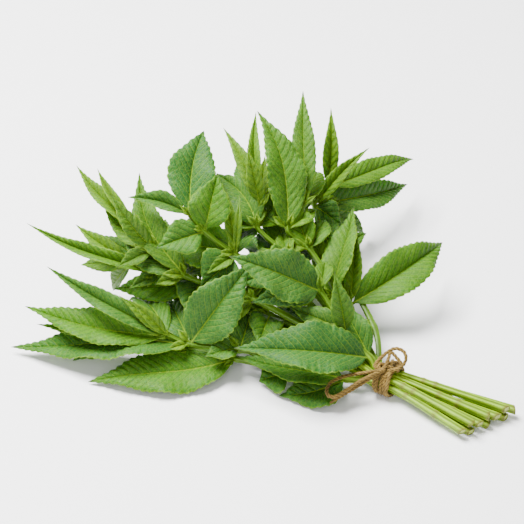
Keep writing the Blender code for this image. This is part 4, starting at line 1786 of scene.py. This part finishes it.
class Bunch:
    """The whole bunch: builds every piece and puts it on the frame."""

    # The least angles in degrees at which an edge stays sharp
    leaf_crease = 60.0
    stem_crease = 50.0
    twine_crease = 70.0

    def __init__(self, seed: int = 11) -> None:
        """Prepares the makers and the finishes.

        Args:
            seed: Where the seeds of the pieces' random draws start.
        """
        self.seed = seed
        self.stems = StemWork()
        self.leaves = LeafWork()
        self.twine = Twine()
        self.leaf_material = LeafFinish().material()
        self.stem_material = StemFinish().material()
        self.twine_material = TwineFinish().material()
        self.solids = Solids()
        self.solids.read()

    def piece(
        self, name: str, surface: Surface, material: bpy.types.Material, node: str, crease: float
    ) -> bpy.types.Object:
        """Makes a mesh object out of a surface and puts it on the frame in place of a node.

        Args:
            name: The piece's name.
            surface: Its surface, in layout mm.
            material: Its material.
            node: The frame's node that it stands for.
            crease: The least angle in degrees at which an edge stays sharp.

        Returns:
            The object.
        """
        mesh = bpy.data.meshes.new(name)
        points = (surface.points - ORIGIN) * MM
        mesh.vertices.add(len(points))
        mesh.vertices.foreach_set("co", points.astype(np.float32).ravel())
        mesh.loops.add(surface.faces.size)
        mesh.loops.foreach_set("vertex_index", surface.faces.astype(np.int32).ravel())
        mesh.polygons.add(len(surface.faces))
        mesh.polygons.foreach_set("loop_start", np.arange(0, surface.faces.size, 4, dtype=np.int32))
        mesh.update(calc_edges=True)
        for kind, value in surface.values.items():
            kept = mesh.attributes.new(kind, "FLOAT", "POINT")
            kept.data.foreach_set("value", value.astype(np.float32))
        mesh.shade_smooth()
        mesh.set_sharp_from_angle(angle=math.radians(crease))
        mesh.materials.append(material)
        made = shown(name, mesh)
        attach(made, "root")
        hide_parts(node)
        log.info("%s: %d faces", name, len(surface.faces))
        return made

    def sprig(self, sprig: Sprig, rng: np.random.Generator) -> None:
        """Builds one sprig: its leaves with the tufts at its tip and its joints, and its stem.

        Args:
            sprig: The leafy stem.
            rng: Seeded random draws.
        """
        line, _, joint_rows = self.stems.route(sprig)
        blades = self.solids.leaves(sprig, line[joint_rows], self.stems.joint_tangents(sprig))
        log.info("%s: %d leaves found", sprig.name, len(blades))
        parts = [self.leaves.surface(blade, sprig.yellow, rng) for blade in blades]
        tufts = [(TIP_SHOOT, len(line) - 3)]
        tufts += [(shoot, row) for row in joint_rows[1:-1] for shoot in (SIDE_SHOOT, UNDER_SHOOT)]
        for shoot, row in tufts:
            if line[row][2] < shoot.least_height:
                continue
            blades = shoot.blades(line[row], unit(line[row + 2] - line[row - 2]), rng)
            parts += [self.leaves.surface(blade, shoot.yellow, rng) for blade in blades]
        short = sprig.name.removeprefix("sprig_")
        leaves = Surface.joined(parts)
        self.piece(f"leaves_{short}", leaves, self.leaf_material, sprig.name, self.leaf_crease)
        stem = self.stems.surface(sprig, rng)
        self.piece(f"stem_{short}", stem, self.stem_material, sprig.name, self.stem_crease)

    def tie(self, rng: np.random.Generator) -> None:
        """Builds the twine: its turns, its knot, its crossing strands, its bow and its loose fibres.

        Args:
            rng: Seeded random draws.
        """
        turns, knot, bow = self.twine.winding(), self.twine.knot(), self.twine.bow()
        crossings = [self.twine.crossing(*laid) for laid in self.twine.crossings]
        self.twine_piece("twine_turns", self.twine.strand(turns, rng))
        self.twine_piece("twine_knot", self.twine.strand(knot, rng))
        laid_over = [self.twine.strand(line, rng) for line in crossings]
        self.twine_piece("twine_crossings", Surface.joined(laid_over))
        loops = [self.twine.strand(line, rng, frayed=line is bow[-1]) for line in bow]
        self.twine_piece("twine_bow", Surface.joined(loops))
        self.twine_piece("twine_fibres", self.twine.loose_fibres([turns, knot, *crossings, *bow], rng))

    def twine_piece(self, name: str, surface: Surface) -> None:
        """Makes one piece of the twine."""
        self.piece(name, surface, self.twine_material, "twine_tie", self.twine_crease)

    def build(self) -> None:
        """Builds everything, each part with its own seeded draws."""
        for i, sprig in enumerate(SPRIGS):
            self.sprig(sprig, np.random.default_rng(self.seed + i))
        self.tie(np.random.default_rng(self.seed + len(SPRIGS)))


@dataclass
class Studio:
    """A white table, soft light from the upper left and the picture's camera; metres and watts."""

    table_size: float = 6.0
    sensor: float = 36.0
    aim: Place = (0.0, 0.0, 0.03)
    key_place: Place = (-0.38, 0.16, 1.02)
    key_size: float = 0.6
    key_power: float = 63.0
    fill_place: Place = (-0.15, -1.0, 0.75)
    fill_size: float = 0.9
    fill_power: float = 8.0
    sky: float = 0.4

    def lamp(self, name: str, place: Place, size: float, power: float) -> None:
        """A square lamp that faces the middle of the bunch.

        Args:
            name: The lamp's name.
            place: Where it stands.
            size: The length of its sides.
            power: Its power.
        """
        light = bpy.data.lights.new(name, "AREA")
        light.size = size
        light.energy = power
        made = shown(name, light)
        made.location = place
        towards = unit(np.array(self.aim) - np.array(place))
        bearing = math.atan2(towards[1], towards[0]) - math.pi / 2
        made.rotation_euler = (math.acos(-towards[2]), 0.0, bearing)

    def table(self) -> None:
        """The table, a broad flat mesh."""
        half = 0.5 * self.table_size
        corners = [(-half, -half, 0), (half, -half, 0), (half, half, 0), (-half, half, 0)]
        mesh = bpy.data.meshes.new("table")
        mesh.from_pydata(corners, [], [(0, 1, 2, 3)])
        mesh.materials.append(TableFinish().material())
        shown("table", mesh)

    def camera(self) -> None:
        """The camera where the picture was taken from."""
        lens = bpy.data.cameras.new("camera")
        lens.sensor_width = self.sensor
        lens.lens = self.sensor * VIEW.focal / VIEW.picture
        lens.clip_start = 0.01
        made = shown("camera", lens)
        made.location = (VIEW.eye - ORIGIN) * MM
        made.rotation_euler = (math.pi / 2 - VIEW.elevation, 0.0, 0.0)
        bpy.context.scene.camera = made

    def build(self) -> None:
        """Sets up the table, the light and the camera."""
        world = bpy.data.worlds.new("soft_sky")
        world.use_nodes = True
        backdrop = world.node_tree.nodes["Background"]
        backdrop.inputs["Color"].default_value = (1.0, 1.0, 1.0, 1.0)
        backdrop.inputs["Strength"].default_value = self.sky
        bpy.context.scene.world = world
        self.table()
        self.lamp("key", self.key_place, self.key_size, self.key_power)
        self.lamp("fill", self.fill_place, self.fill_size, self.fill_power)
        self.camera()


def main() -> None:
    """Builds the bunch and its studio."""
    logging.basicConfig(level=logging.INFO, format="%(message)s")
    Bunch().build()
    Studio().build()
    bpy.context.view_layer.update()


if __name__ == "__main__":
    main()
